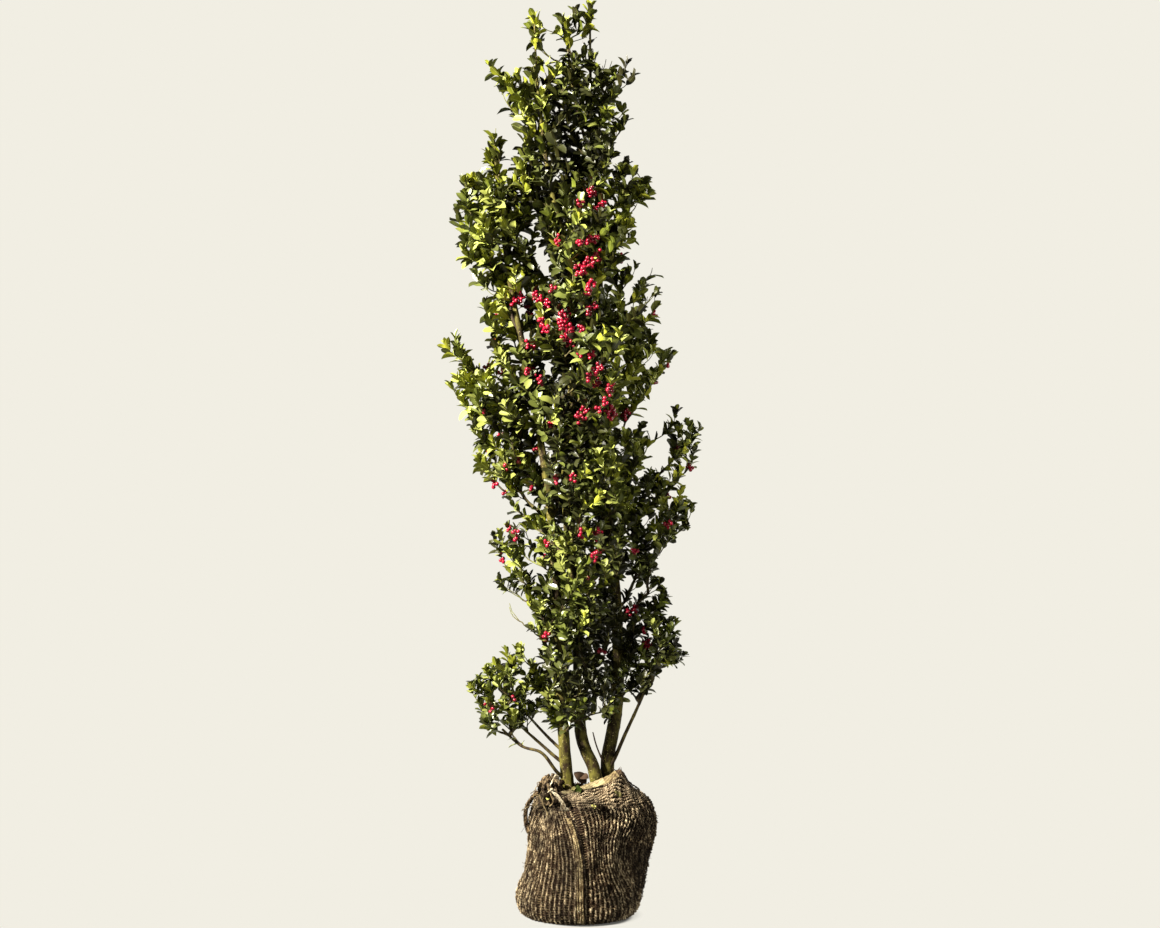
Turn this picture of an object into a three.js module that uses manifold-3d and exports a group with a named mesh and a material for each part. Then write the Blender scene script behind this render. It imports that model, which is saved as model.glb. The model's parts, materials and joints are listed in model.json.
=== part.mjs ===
// A holly sapling with three stems, standing on its root ball, which is wrapped in jute cloth.
// Units are millimetres and +Z is up. The origin is the middle of the flat underside of the ball,
// +X is to the right of the plant's front, and +Y runs to its back.
// Every limb is one tapering tube along a smooth curve, and every mass of leaves is one uneven
// closed solid. Where two pieces meet, the later one is cut back to leave a small gap.

import * as THREE from "three";
import { mergeVertices } from "three/addons/utils/BufferGeometryUtils.js";
import Module from "manifold-3d";

const wasm = await Module();
wasm.setup();

// Driving dimensions
const PIECE_GAP = 0.35; // between a limb and what it meets
const LEAF_GAP = 0.6; // between two masses of leaves
const BALL_TOP = 312; // the ball's flat top, where the stems stand
const BALL_DEPTH_SHARE = 0.94; // front-to-back half width over the side-to-side one
const BALL_SIDES = 24;
const BALL_RINGS = 11;
const BALL_UNEVEN = 0.018; // share of the radius by which the ball's side rises and falls
const LIMB_SIDES = 6;
const STEM_RINGS = 1; // rings from one point of a stem's route to the next
const BOUGH_RINGS = 2; // the same for boughs and folds, whose routes have fewer points
const FLARE = 0.15; // share by which a stem is wider at its foot
const FLARE_LENGTH = 34; // how fast the flare dies out, going up
const MASS_SIDES = 8;
const MASS_RINGS = 6;
const MASS_UNEVEN = 0.09; // share of the radius by which a mass rises and falls
const MASS_FULLNESS = 2.5; // 2 is an ellipsoid, more fills out its corners

const BARK = { color: 0x5d5a35, roughness: 0.75, metalness: 0 };
const DEAD_WOOD = { color: 0x4a3a2a, roughness: 0.9, metalness: 0 };
const JUTE = { color: 0x8a7048, roughness: 0.95, metalness: 0 };
const LEAVES = {
  young: { color: 0x9aa02e, roughness: 0.35, metalness: 0 },
  mid: { color: 0x3f6422, roughness: 0.35, metalness: 0 },
  dark: { color: 0x1d3416, roughness: 0.4, metalness: 0 },
};

// The outline of the ball from the front: height, left edge, right edge
const BALL_OUTLINE = [
  { z: 0, left: -132, right: 114 },
  { z: 13, left: -153, right: 134 },
  { z: 45, left: -162, right: 147 },
  { z: 105, left: -148, right: 154 },
  { z: 165, left: -138, right: 166 },
  { z: 228, left: -133, right: 177 },
  { z: 268, left: -124, right: 168 },
  { z: 293, left: -104, right: 141 },
  { z: 305, left: -80, right: 116 },
  { z: BALL_TOP, left: -60, right: 94 },
];

// Stems and boughs, from foot to tip. Each is a route and its radius at the foot and at the tip.
// A bough's route starts inside the stem that it grows from.
const STEMS = [
  {
    name: "stem_left",
    foot: 14.8,
    tip: 2.2,
    route: [
      [-34, -25, BALL_TOP + PIECE_GAP],
      [-43, -30, 422],
      [-57, -35, 637],
      [-64, -45, 840],
      [-88, -40, 1066],
      [-129, -30, 1304],
      [-177, -20, 1544],
      [-201, -20, 1735],
      [-210, -20, 1856],
    ],
  },
  {
    name: "stem_middle",
    foot: 15,
    tip: 2,
    route: [
      [37, -8, BALL_TOP + PIECE_GAP],
      [26, -8, 358],
      [9, -8, 393],
      [-2, -5, 430],
      [-7, 0, 514],
      [-12, -20, 707],
      [-24, -55, 817],
      [-38, -34, 1042],
      [-24, -45, 1304],
      [-33, -70, 1567],
      [-69, -50, 1714],
      [-98, -40, 1899],
      [-110, -35, 2043],
      [-113, -35, 2132],
    ],
  },
  {
    name: "stem_right",
    foot: 16.5,
    tip: 2,
    route: [
      [61, 22, BALL_TOP + PIECE_GAP],
      [63, 21, 375],
      [73, 22, 428],
      [81, 24, 475],
      [87, 28, 559],
      [82, 35, 751],
      [58, 35, 993],
      [39, 30, 1235],
      [43, 25, 1476],
      [36, 20, 1716],
      [22, 20, 1933],
      [19, 20, 2168],
    ],
  },
];
const BOUGHS = [
  {
    name: "bough_top_fork",
    foot: 4.5,
    tip: 1.8,
    route: [
      [31, 20, 1790],
      [-5, 5, 1906],
      [-31, -10, 2048],
      [-37, -10, 2136],
    ],
  },
  {
    name: "bough_left_low",
    foot: 4.6,
    tip: 2.6,
    route: [
      [-38, -27, 326],
      [-60, -44, 348],
      [-97, -60, 396],
      [-142, -55, 410],
      [-190, -48, 450],
    ],
  },
  {
    name: "bough_left_mid",
    foot: 4.4,
    tip: 2.6,
    route: [
      [-42, -28, 366],
      [-57, -29, 376],
      [-100, -32, 414],
      [-165, -35, 472],
    ],
  },
  {
    name: "bough_left_high",
    foot: 4,
    tip: 2.4,
    route: [
      [-44, -26, 394],
      [-57, -20, 404],
      [-93, -10, 438],
      [-150, 0, 500],
    ],
  },
  {
    name: "bough_right_low",
    foot: 5,
    tip: 3,
    route: [
      [62, 16, 342],
      [77, 8, 370],
      [103, 0, 430],
      [148, -10, 532],
      [164, -10, 576],
    ],
  },
  {
    name: "snag",
    dead: true,
    foot: 2.6,
    tip: 1.4,
    route: [
      [60, 16, 350],
      [45, 3, 378],
      [34, 0, 406],
      [26, -5, 437],
    ],
  },
];

// Masses of leaves: the middle of each, its half sizes, its lean to the right in degrees, and its
// tone if that isn't mid green.
// Those at the edge of the crown come first, because the later ones are cut back by them.
const OUTER_MASSES = [
  { name: "leader_right", at: [19, 20, 2110], half: [26, 24, 80], tone: "young" },
  { name: "leader_middle", at: [-38, -10, 2086], half: [27, 26, 76], tone: "young" },
  { name: "leader_left", at: [-112, -35, 2078], half: [30, 28, 80], tone: "young" },
  { name: "top_left_shoot", at: [-186, -18, 1976], half: [30, 30, 80], lean: -38, tone: "young" },
  { name: "top_right_shoot", at: [88, 12, 1984], half: [38, 40, 80], lean: 34, tone: "young" },
  { name: "right_neck_shoot", at: [96, 20, 1888], half: [28, 36, 58], lean: 14, tone: "young" },
  { name: "left_upright_shoot", at: [-206, -20, 1818], half: [30, 32, 76], tone: "young" },
  { name: "left_shoulder", at: [-216, -20, 1672], half: [98, 110, 116], lean: -8, tone: "young" },
  { name: "right_shoulder", at: [116, 30, 1748], half: [68, 85, 86] },
  { name: "left_flank", at: [-176, 30, 1476], half: [86, 105, 106] },
  { name: "right_flank_upper", at: [140, -20, 1486], half: [70, 92, 84] },
  { name: "right_flank_lower", at: [170, 20, 1324], half: [80, 95, 90], tone: "dark" },
  { name: "right_middle", at: [124, -10, 1132], half: [60, 90, 66], tone: "dark" },
  { name: "left_tip", at: [-284, -30, 1298], half: [46, 46, 106], lean: -12, tone: "young" },
  { name: "left_middle", at: [-182, -30, 1268], half: [98, 120, 108] },
  { name: "right_horn", at: [242, 0, 1128], half: [48, 56, 102], tone: "dark" },
  { name: "left_lower_middle", at: [-176, 20, 1108], half: [96, 115, 84] },
  { name: "left_lower_tip", at: [-150, 0, 1012], half: [48, 46, 30] },
  { name: "right_lower", at: [200, 10, 956], half: [88, 95, 98], lean: 12, tone: "dark" },
  { name: "left_berry_tuft", at: [-158, -30, 890], half: [64, 62, 84] },
  { name: "left_waist_tip", at: [-156, -20, 772], half: [56, 46, 46] },
  { name: "right_skirt_upper", at: [150, 30, 774], half: [62, 82, 82], tone: "dark" },
  { name: "right_skirt_lower", at: [166, -20, 646], half: [86, 86, 96], lean: 26 },
  { name: "left_foot", at: [-182, -30, 538], half: [90, 82, 108], lean: 18 },
  { name: "back_tuft_upper", at: [-50, 170, 1560], half: [84, 76, 104], tone: "dark" },
  { name: "back_tuft_lower", at: [70, 182, 1090], half: [82, 74, 110], tone: "dark" },
  { name: "front_tuft", at: [46, -176, 1330], half: [80, 70, 100] },
];
// The core of the crown, in tiers from the top. Each tier is one mass round the stems, or a front
// and a back one, of which the back one sits higher by its rise.
const CORE_TIERS = [
  { name: "top_crown", at: [-34, 0, 1956], half: [132, 94, 108] },
  { name: "upper_crown", at: [-28, 0, 1798], half: [142, 128, 132] },
  { name: "heart_upper", at: [16, 0, 1616], half: [120, 172, 122], rise: 14, lean: -4 },
  { name: "heart_middle", at: [-8, 0, 1414], half: [132, 188, 124], rise: -18, lean: 5 },
  { name: "body_middle", at: [2, 0, 1228], half: [140, 200, 122], rise: 22, lean: -5 },
  { name: "body_lower", at: [26, 0, 1046], half: [142, 198, 116], rise: -16, lean: 4 },
  { name: "waist", at: [14, 0, 876], half: [140, 182, 106], rise: 12, lean: -5 },
  { name: "skirt", at: [-4, 0, 700], half: [128, 168, 106], rise: -10, lean: 4, tone: "dark" },
  { name: "foot_leaves", at: [12, 0, 560], half: [118, 146, 92], rise: 16, lean: -3, tone: "dark" },
];
const SPLIT_SHARE = 0.53; // half depth of a front or back mass over that of its tier

// Folds of the cloth, each a route with radii along it: the collar in front of the stems, which
// rises to a peak, and the frayed flap that hangs at the left
const COLLAR = {
  name: "cloth_collar",
  radii: [7, 13, 21, 20, 8],
  route: [
    [-20, -80, 306],
    [34, -68, 314],
    [80, -52, 321],
    [116, -42, 306],
    [150, -34, 280],
  ],
  peak: { at: [88, -46, 333], half: [13, 10, 19], lean: 14 },
};
const FLAP = {
  name: "cloth_flap_left",
  radii: [5, 4.5, 4.5, 3.5],
  route: [
    [-108, -27, 294],
    [-134, -28, 266],
    [-139, -28, 234],
    [-129, -28, 194],
  ],
};
// The bunch where the cloth is gathered and tied
const KNOT = { name: "cloth_knot_left", at: [-74, -72, 306], half: [33, 27, 44], lean: -10 };
// The edge where the cloth laps over itself: the ball's angle and height along it, and its radius
const LAP_EDGE = [
  { angle: 243, z: 290, radius: 5 },
  { angle: 248, z: 266, radius: 6 },
  { angle: 257, z: 212, radius: 6 },
  { angle: 266.5, z: 143, radius: 5.5 },
  { angle: 272, z: 80, radius: 5 },
  { angle: 276, z: 22, radius: 4 },
];

const radians = THREE.MathUtils.degToRad;

/** A closed geometry from rings of points that run anticlockwise seen from the far end. */
function closedRings(rings, firstPoint, lastPoint) {
  const sides = rings[0].length;
  const points = [firstPoint, ...rings.flat(), lastPoint];
  const last = points.length - 1;
  const corner = (ring, side) => 1 + ring * sides + (side % sides);
  const faces = [];
  for (let side = 0; side < sides; side++) {
    faces.push(0, corner(0, side + 1), corner(0, side));
    for (let ring = 0; ring < rings.length - 1; ring++) {
      const [a, b] = [corner(ring, side), corner(ring, side + 1)];
      const [c, d] = [corner(ring + 1, side + 1), corner(ring + 1, side)];
      faces.push(a, b, c, a, c, d);
    }
    faces.push(last, corner(rings.length - 1, side), corner(rings.length - 1, side + 1));
  }
  const geometry = new THREE.BufferGeometry().setFromPoints(points);
  geometry.setIndex(faces);
  return geometry;
}

/** The manifold solid of a closed geometry. */
function solidOf(geometry) {
  const bare = geometry.clone();
  bare.deleteAttribute("normal");
  bare.deleteAttribute("uv");
  const merged = mergeVertices(bare, 1e-4);
  return new wasm.Manifold(
    new wasm.Mesh({
      numProp: 3,
      vertProperties: new Float32Array(merged.attributes.position.array),
      triVerts: new Uint32Array(merged.index.array),
    }),
  );
}

/** The geometry of a manifold solid. */
function geometryOf(solid) {
  const mesh = solid.getMesh();
  const geometry = new THREE.BufferGeometry();
  geometry.setAttribute("position", new THREE.BufferAttribute(mesh.vertProperties, 3));
  geometry.setIndex(new THREE.BufferAttribute(mesh.triVerts, 1));
  return geometry.toNonIndexed();
}

/** The largest body of a solid, without the slivers that a cut leaves. */
function largestBody(solid) {
  return solid.decompose().reduce((best, body) => (body.volume() > best.volume() ? body : best));
}

/** A value that runs through evenly spaced ones, at a share of the way from 0 to 1. */
function along(values, share) {
  const place = share * (values.length - 1);
  const before = Math.min(Math.floor(place), values.length - 2);
  return THREE.MathUtils.lerp(values[before], values[before + 1], place - before);
}

/** A tube along a smooth route, with its radius given by a function of length and share. */
function tube(route, radiusAt, ringsPerSpan, grow) {
  const curve = new THREE.CatmullRomCurve3(route.map((p) => new THREE.Vector3(...p)));
  const lengths = curve.getLengths((route.length - 1) * ringsPerSpan);
  const steps = lengths.length - 1;
  const rings = [];
  const side = new THREE.Vector3(1, 0, 0);
  for (let step = 0; step <= steps; step++) {
    const share = step / steps;
    const tangent = curve.getTangent(share);
    const across = side.clone().addScaledVector(tangent, -side.dot(tangent)).normalize();
    const up = tangent.clone().cross(across);
    side.copy(across);
    const radius = radiusAt(lengths[step], lengths[step] / lengths[steps]) + grow;
    const middle = curve.getPoint(share);
    if (step === steps) middle.addScaledVector(tangent, grow);
    if (step === 0) middle.addScaledVector(tangent, -grow);
    rings.push(
      Array.from({ length: LIMB_SIDES }, (_, i) => {
        const angle = (2 * Math.PI * i) / LIMB_SIDES;
        return middle
          .clone()
          .addScaledVector(across, radius * Math.cos(angle))
          .addScaledVector(up, radius * Math.sin(angle));
      }),
    );
  }
  const centreOf = (ring) =>
    ring.reduce((sum, p) => sum.add(p), new THREE.Vector3()).divideScalar(ring.length);
  return { rings, first: centreOf(rings[0]), last: centreOf(rings[steps]) };
}

/** One tapering limb. A stem stands on a flat cut, so its first ring is level. */
function limb({ route, foot, tip }, standing, grow = 0) {
  const radiusAt = (length, share) => {
    const taper = tip + (foot - tip) * (1 - share) ** 0.9;
    return taper * (1 + (standing ? FLARE * Math.exp(-length / FLARE_LENGTH) : 0));
  };
  const { rings, first, last } = tube(route, radiusAt, standing ? STEM_RINGS : BOUGH_RINGS, grow);
  if (standing) {
    rings[0].forEach((p) => (p.z = route[0][2]));
    first.z = route[0][2];
  }
  return solidOf(closedRings(rings, first, last));
}

/** A fold of cloth: a round tube whose radius runs through the given ones. */
function fold({ route, radii }) {
  const { rings, first, last } = tube(route, (_, share) => along(radii, share), BOUGH_RINGS, 0);
  return solidOf(closedRings(rings, first, last));
}

/** An uneven closed lump: a filled-out ellipsoid whose radius rises and falls with direction. */
function lump({ at, half, lean = 0 }, seed, grow = 0) {
  const turn = new THREE.Matrix4().makeRotationY(radians(lean));
  const place = (theta, phi) => {
    const ray = new THREE.Vector3(
      Math.sin(theta) * Math.cos(phi),
      Math.sin(theta) * Math.sin(phi),
      Math.cos(theta),
    );
    const reach = ray.toArray().reduce((sum, c) => sum + Math.abs(c) ** MASS_FULLNESS, 0);
    const wave =
      Math.sin(3 * phi + 2.1 * seed) * Math.sin(2 * theta + seed) +
      0.7 * Math.sin(2 * phi - 1.3 * seed) * Math.cos(3 * theta + 0.6 * seed) * Math.sin(theta);
    const point = ray.clone().multiply(new THREE.Vector3(...half));
    point.multiplyScalar(reach ** (-1 / MASS_FULLNESS) * (1 + MASS_UNEVEN * (wave - 0.2)));
    point.addScaledVector(ray, grow);
    return point.applyMatrix4(turn).add(new THREE.Vector3(...at));
  };
  const rings = [];
  for (let ring = 1; ring < MASS_RINGS; ring++) {
    const theta = Math.PI * (1 - ring / MASS_RINGS);
    const turnOf = (side) => (2 * Math.PI * (side + seed / 3)) / MASS_SIDES;
    rings.push(Array.from({ length: MASS_SIDES }, (_, side) => place(theta, turnOf(side))));
  }
  return solidOf(closedRings(rings, place(Math.PI, 0), place(0, 0)));
}

/** The ball's outline at a height: the middle and half width, smooth through the given ones. */
function ballAt(z) {
  const curve = (edge) => {
    const points = BALL_OUTLINE.map((o) => new THREE.Vector2(o[edge], o.z));
    return new THREE.SplineCurve(points);
  };
  const edgeAt = (edge) => {
    const line = curve(edge);
    let [low, high] = [0, 1];
    for (let halving = 0; halving < 24; halving++) {
      const middle = (low + high) / 2;
      if (line.getPoint(middle).y < z) low = middle;
      else high = middle;
    }
    return line.getPoint(low).x;
  };
  const [left, right] = [edgeAt("left"), edgeAt("right")];
  return { middle: (left + right) / 2, half: (right - left) / 2 };
}

/** A point of the ball's side, at an angle round it and a height, a little out from it. */
function ballPoint(angle, z, out = 0) {
  const { middle, half } = ballAt(z);
  const rise = Math.sin((Math.PI * z) / BALL_TOP);
  const uneven = 1 + BALL_UNEVEN * rise * (Math.sin(3 * angle + 1) + Math.sin(5 * angle + z / 60));
  const radius = half * uneven + out;
  return new THREE.Vector3(
    middle + radius * Math.cos(angle),
    radius * BALL_DEPTH_SHARE * Math.sin(angle),
    z,
  );
}

/** The root ball: rings round its outline, closed by its flat underside and its flat top. */
function rootBall(grow = 0) {
  const rings = [];
  for (let ring = 0; ring <= BALL_RINGS; ring++) {
    // Rings lie closer together near the foot and the shoulder, where the outline turns.
    const share = ring / BALL_RINGS;
    const z = (BALL_TOP * (1 - Math.cos(Math.PI * share))) / 2;
    rings.push(
      Array.from({ length: BALL_SIDES }, (_, i) => {
        const point = ballPoint((2 * Math.PI * i) / BALL_SIDES, z, grow);
        if (2 * ring > BALL_RINGS) point.z += grow;
        return point;
      }),
    );
  }
  const underside = new THREE.Vector3(0, 0, 0);
  const top = new THREE.Vector3(ballAt(BALL_TOP).middle, 0, BALL_TOP + grow);
  return solidOf(closedRings(rings, underside, top));
}

/** The bead along the lapped edge of the cloth, which follows the ball's side. */
function lapEdge() {
  const route = LAP_EDGE.map(({ angle, z }) => ballPoint(radians(angle), z, 1).toArray());
  return fold({ route, radii: LAP_EDGE.map((p) => p.radius) });
}

/** The masses of the crown's core, with each tier that has a rise as a front and a back one. */
function coreMasses() {
  return CORE_TIERS.flatMap((tier) => {
    if (tier.rise === undefined) return [tier];
    const [x, , z] = tier.at;
    const [width, depth, height] = tier.half;
    const half = [width, depth * SPLIT_SHARE, height];
    const shift = depth * (1 - SPLIT_SHARE);
    return [
      { ...tier, half, name: tier.name + "_front", at: [x, -shift, z - tier.rise / 2] },
      { ...tier, half, name: tier.name + "_back", at: [x, shift, z + tier.rise / 2], tone: "dark" },
    ];
  });
}

const sapling = new THREE.Group();

/** Adds one named mesh to the sapling. */
function addPiece(name, solid, look) {
  const mesh = new THREE.Mesh(geometryOf(solid), new THREE.MeshStandardMaterial(look));
  mesh.name = name;
  sapling.add(mesh);
}

const ball = rootBall();
const ballCutter = rootBall(PIECE_GAP);
addPiece("root_ball", ball, JUTE);

// Limbs: each is cut back by the limbs before it, so that a bough starts on its stem's bark.
const limbCutters = [];
const allLimbs = [...STEMS.map((stem) => ({ ...stem, standing: true })), ...BOUGHS];
for (const one of allLimbs) {
  let solid = limb(one, one.standing);
  for (const cutter of limbCutters) solid = solid.subtract(cutter);
  addPiece(one.name, largestBody(solid), one.dead ? DEAD_WOOD : BARK);
  limbCutters.push(limb(one, one.standing, PIECE_GAP));
}

// Folds and the knot of the cloth: they lie on the ball and leave room for the limbs.
const clothPieces = [
  [COLLAR.name, fold(COLLAR).add(lump(COLLAR.peak, 1))],
  [FLAP.name, fold(FLAP)],
  [KNOT.name, lump(KNOT, 2)],
  ["cloth_lap_edge", lapEdge()],
];
const clothCutters = [ballCutter, ...limbCutters];
for (const [name, whole] of clothPieces) {
  let solid = whole;
  for (const cutter of clothCutters) solid = solid.subtract(cutter);
  solid = largestBody(solid);
  addPiece(name, solid, JUTE);
  clothCutters.push(solid);
}

// Masses of leaves: each is cut back by the limbs and by the masses before it.
const massCutters = [];
[...OUTER_MASSES, ...coreMasses()].forEach((mass, index) => {
  let solid = lump(mass, index + 1);
  for (const cutter of [...limbCutters, ...massCutters]) solid = solid.subtract(cutter);
  addPiece(mass.name, largestBody(solid), LEAVES[mass.tone ?? "mid"]);
  massCutters.push(lump(mass, index + 1, LEAF_GAP));
});

export default sapling;
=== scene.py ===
"""A holly sapling on its jute-wrapped root ball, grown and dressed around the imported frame.

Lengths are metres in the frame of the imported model: +Z is up, +X is the plant's right and -Y its front.
The order is camera, studio, root ball with what clings to it, stems, twigs, berries and leaves.
"""

import json
import logging
from dataclasses import dataclass
from enum import Enum

import bpy
import numpy as np
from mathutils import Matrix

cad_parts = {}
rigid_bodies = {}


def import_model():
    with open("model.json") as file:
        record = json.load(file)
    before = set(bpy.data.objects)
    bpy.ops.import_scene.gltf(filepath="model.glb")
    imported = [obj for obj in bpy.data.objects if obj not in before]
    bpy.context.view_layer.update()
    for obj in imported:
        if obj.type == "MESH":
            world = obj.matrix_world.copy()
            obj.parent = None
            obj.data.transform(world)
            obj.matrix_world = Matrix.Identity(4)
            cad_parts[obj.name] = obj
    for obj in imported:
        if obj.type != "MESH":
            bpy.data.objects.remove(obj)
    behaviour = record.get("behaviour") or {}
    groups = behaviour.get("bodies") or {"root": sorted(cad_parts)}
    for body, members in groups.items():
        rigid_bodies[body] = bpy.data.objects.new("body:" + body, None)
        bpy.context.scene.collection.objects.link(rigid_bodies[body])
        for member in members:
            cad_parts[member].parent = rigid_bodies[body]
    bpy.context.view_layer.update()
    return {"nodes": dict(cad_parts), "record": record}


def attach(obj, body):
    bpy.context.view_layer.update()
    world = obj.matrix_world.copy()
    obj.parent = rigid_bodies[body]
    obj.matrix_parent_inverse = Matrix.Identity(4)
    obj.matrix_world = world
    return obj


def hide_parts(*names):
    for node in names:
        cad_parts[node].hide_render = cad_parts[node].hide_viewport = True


LOG = logging.getLogger("sapling")
SEED = 20
CROWN_SEED = 5
GOLDEN_TURN = np.radians(137.5)
FULL_TURN = 2 * np.pi
UP = np.array([0.0, 0.0, 1.0])
MM = 0.001
Triple = tuple[float, float, float]


class Tone(Enum):
    """The leaf colours that sprays are dealt: partly the leaves' own, partly painted sunlight and shade."""

    DEEP = "deep"
    DARK = "dark"
    MID = "mid"
    FRESH = "fresh"
    YOUNG = "young"


# Small helpers on arrays


def smooth(x: np.ndarray) -> np.ndarray:
    """Clips to 0..1 and eases: three times the square less twice the cube.

    Args:
        x: any values.

    Returns:
        Eased values from 0 to 1.
    """
    t = np.clip(x, 0.0, 1.0)
    return t * t * (3 - 2 * t)


def unit(v: np.ndarray) -> np.ndarray:
    """Scales vectors along the last axis to length 1.

    Args:
        v: vectors.

    Returns:
        Vectors of length 1 with the same direction.
    """
    return v / np.maximum(np.linalg.norm(v, axis=-1, keepdims=True), 1e-12)


def own_luck(point: np.ndarray, use: int) -> np.random.Generator:
    """A source of random numbers of one place of the crown, so that a change leaves all others alone.

    Args:
        point: the place, in metres.
        use: a number that tells apart what draws there.

    Returns:
        The source.
    """
    return np.random.default_rng([CROWN_SEED, use, *np.abs(np.round(point / MM)).astype(int)])


def ripple(points: np.ndarray, scale: float, seed: float) -> np.ndarray:
    """A cheap smooth noise: a sum of sines of rotated and scaled coordinates.

    Args:
        points: positions, last axis of 3.
        scale: length of one wave in metres.
        seed: shifts the waves.

    Returns:
        Values from about -1 to 1, one for each position.
    """
    p = points * (FULL_TURN / scale)
    x, y, z = p[..., 0], p[..., 1], p[..., 2]
    first = np.sin(x + 1.7 * np.sin(0.7 * y + seed) + seed) * np.cos(0.9 * z + 1.3 * seed)
    second = np.sin(1.3 * y + 1.1 * np.sin(0.8 * z - seed) + 2 * seed)
    third = np.sin(1.7 * z + 0.9 * np.sin(1.1 * x + 2.3 * seed) - seed)
    return (first + second * 0.7 + third * 0.6) / 2.0


def bell(x: np.ndarray) -> np.ndarray:
    """A bell curve: e to the power of minus the square.

    Args:
        x: any values.

    Returns:
        Values from 0 to 1.
    """
    return np.exp(-(x**2))


def circle(corners: int) -> np.ndarray:
    """Evenly spaced angles round a full turn.

    Args:
        corners: how many.

    Returns:
        Angles in radians, from 0.
    """
    return np.linspace(0, FULL_TURN, corners, endpoint=False)


def level_way(angle: np.ndarray) -> np.ndarray:
    """Level directions at angles round the upright axis: cosine, sine and 0.

    Args:
        angle: angles in radians.

    Returns:
        Vectors of length 1.
    """
    return np.stack([np.cos(angle), np.sin(angle), 0 * angle], -1)


def degrees_from(angle: np.ndarray, middle: float) -> np.ndarray:
    """How far angles lie from a middle, the short way round.

    Args:
        angle: angles in radians.
        middle: the middle in degrees.

    Returns:
        Degrees from -180 to 180.
    """
    return (np.degrees(angle) - middle + 180) % 360 - 180


def spline(points: np.ndarray, count: int) -> np.ndarray:
    """Points evenly spaced in parameter along a centripetal Catmull-Rom curve.

    Each stretch is blended from straight lines between its four nearest control points, by knots that
    grow with the square root of their distances.

    Args:
        points: control points, one a row.
        count: how many points to return.

    Returns:
        An array of count positions.
    """
    p = np.asarray(points, float)
    p = np.vstack([2 * p[0] - p[1], p, 2 * p[-1] - p[-2]])
    spans = len(p) - 3
    u = np.linspace(0, spans, count)
    i = np.minimum(u.astype(int), spans - 1)
    f = (u - i)[:, None]
    a, b, c, d = p[i], p[i + 1], p[i + 2], p[i + 3]
    k1 = np.sqrt(np.linalg.norm(b - a, axis=1, keepdims=True)) + 1e-9
    k2 = k1 + np.sqrt(np.linalg.norm(c - b, axis=1, keepdims=True)) + 1e-9
    k3 = k2 + np.sqrt(np.linalg.norm(d - c, axis=1, keepdims=True)) + 1e-9
    t = k1 + f * (k2 - k1)
    a1 = ((k1 - t) * a + t * b) / k1
    a2 = ((k2 - t) * b + (t - k1) * c) / (k2 - k1)
    a3 = ((k3 - t) * c + (t - k2) * d) / (k3 - k2)
    b1 = ((k2 - t) * a1 + t * a2) / k2
    b2 = ((k3 - t) * a2 + (t - k1) * a3) / (k3 - k1)
    return ((k2 - t) * b1 + (t - k1) * b2) / (k2 - k1)


def bezier(a: np.ndarray, b: np.ndarray, c: np.ndarray, d: np.ndarray, t: np.ndarray) -> np.ndarray:
    """Points of a cubic Bezier: its four corners, weighted by the powers of t and of what is left of it.

    Args:
        a: its start.
        b: its second corner.
        c: its third corner.
        d: its end.
        t: shares of the way from 0 to 1.

    Returns:
        Positions.
    """
    return (1 - t) ** 3 * a + 3 * (1 - t) ** 2 * t * b + 3 * (1 - t) * t**2 * c + t**3 * d


def arc_lengths(path: np.ndarray) -> np.ndarray:
    """Length along paths from their first point.

    Args:
        path: positions, with the points of a path on the second last axis.

    Returns:
        The running length at each point.
    """
    step = np.linalg.norm(np.diff(path, axis=-2), axis=-1)
    start = np.zeros(step.shape[:-1] + (1,))
    return np.concatenate([start, np.cumsum(step, axis=-1)], axis=-1)


def between(at: np.ndarray, marks: np.ndarray, rows: np.ndarray) -> np.ndarray:
    """Reads a table of vectors between its rows.

    Args:
        at: where to read.
        marks: the mark of each row, rising.
        rows: the vectors, one a row.

    Returns:
        A vector for each place.
    """
    return np.stack([np.interp(at, marks, column) for column in rows.T], -1)


def resample(path: np.ndarray, count: int) -> np.ndarray:
    """Spreads the same number of points evenly along each path.

    Args:
        path: positions of shape (paths, points, 3).
        count: points wanted on each path.

    Returns:
        Positions of shape (paths, count, 3).
    """
    runs = arc_lengths(path)
    return np.stack([between(np.linspace(0, run[-1], count), run, line) for line, run in zip(path, runs)])


def hairs(
    root: np.ndarray, way: np.ndarray, bend: np.ndarray, reach: np.ndarray | float, steps: int
) -> np.ndarray:
    """Paths of short hairs: a hair goes its way evenly, and its bend grows as the square of the way.

    Args:
        root: where each starts.
        way: its direction.
        bend: its bend, as a share of its length.
        reach: its length, of shape (hairs, 1, 1), or one length for all.
        steps: points on each.

    Returns:
        Positions of shape (hairs, steps, 3).
    """
    t = np.linspace(0, 1, steps)[None, :, None]
    return root[:, None] + reach * (way[:, None] * t + bend[:, None] * t**2)


def frames(path: np.ndarray) -> tuple[np.ndarray, np.ndarray, np.ndarray]:
    """Tangents and two cross directions along paths.

    The tangent is the difference of the neighbours. The first cross direction is the one horizontal
    axis that is least along the whole path, with its part along the tangent taken off.

    Args:
        path: positions of shape (paths, points, 3).

    Returns:
        Tangents, first and second cross directions, each shaped as path.
    """
    tangent = unit(np.gradient(path, axis=-2))
    chord = np.abs(unit(path[..., -1:, :] - path[..., :1, :]))
    axis = np.where(chord[..., :1] < chord[..., 1:2], 1.0, 0.0)
    reference = np.concatenate([axis, 1 - axis, np.zeros_like(axis)], axis=-1)
    along = np.sum(tangent * reference, axis=-1, keepdims=True)
    across = unit(reference - along * tangent)
    return tangent, across, np.cross(tangent, across)


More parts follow.
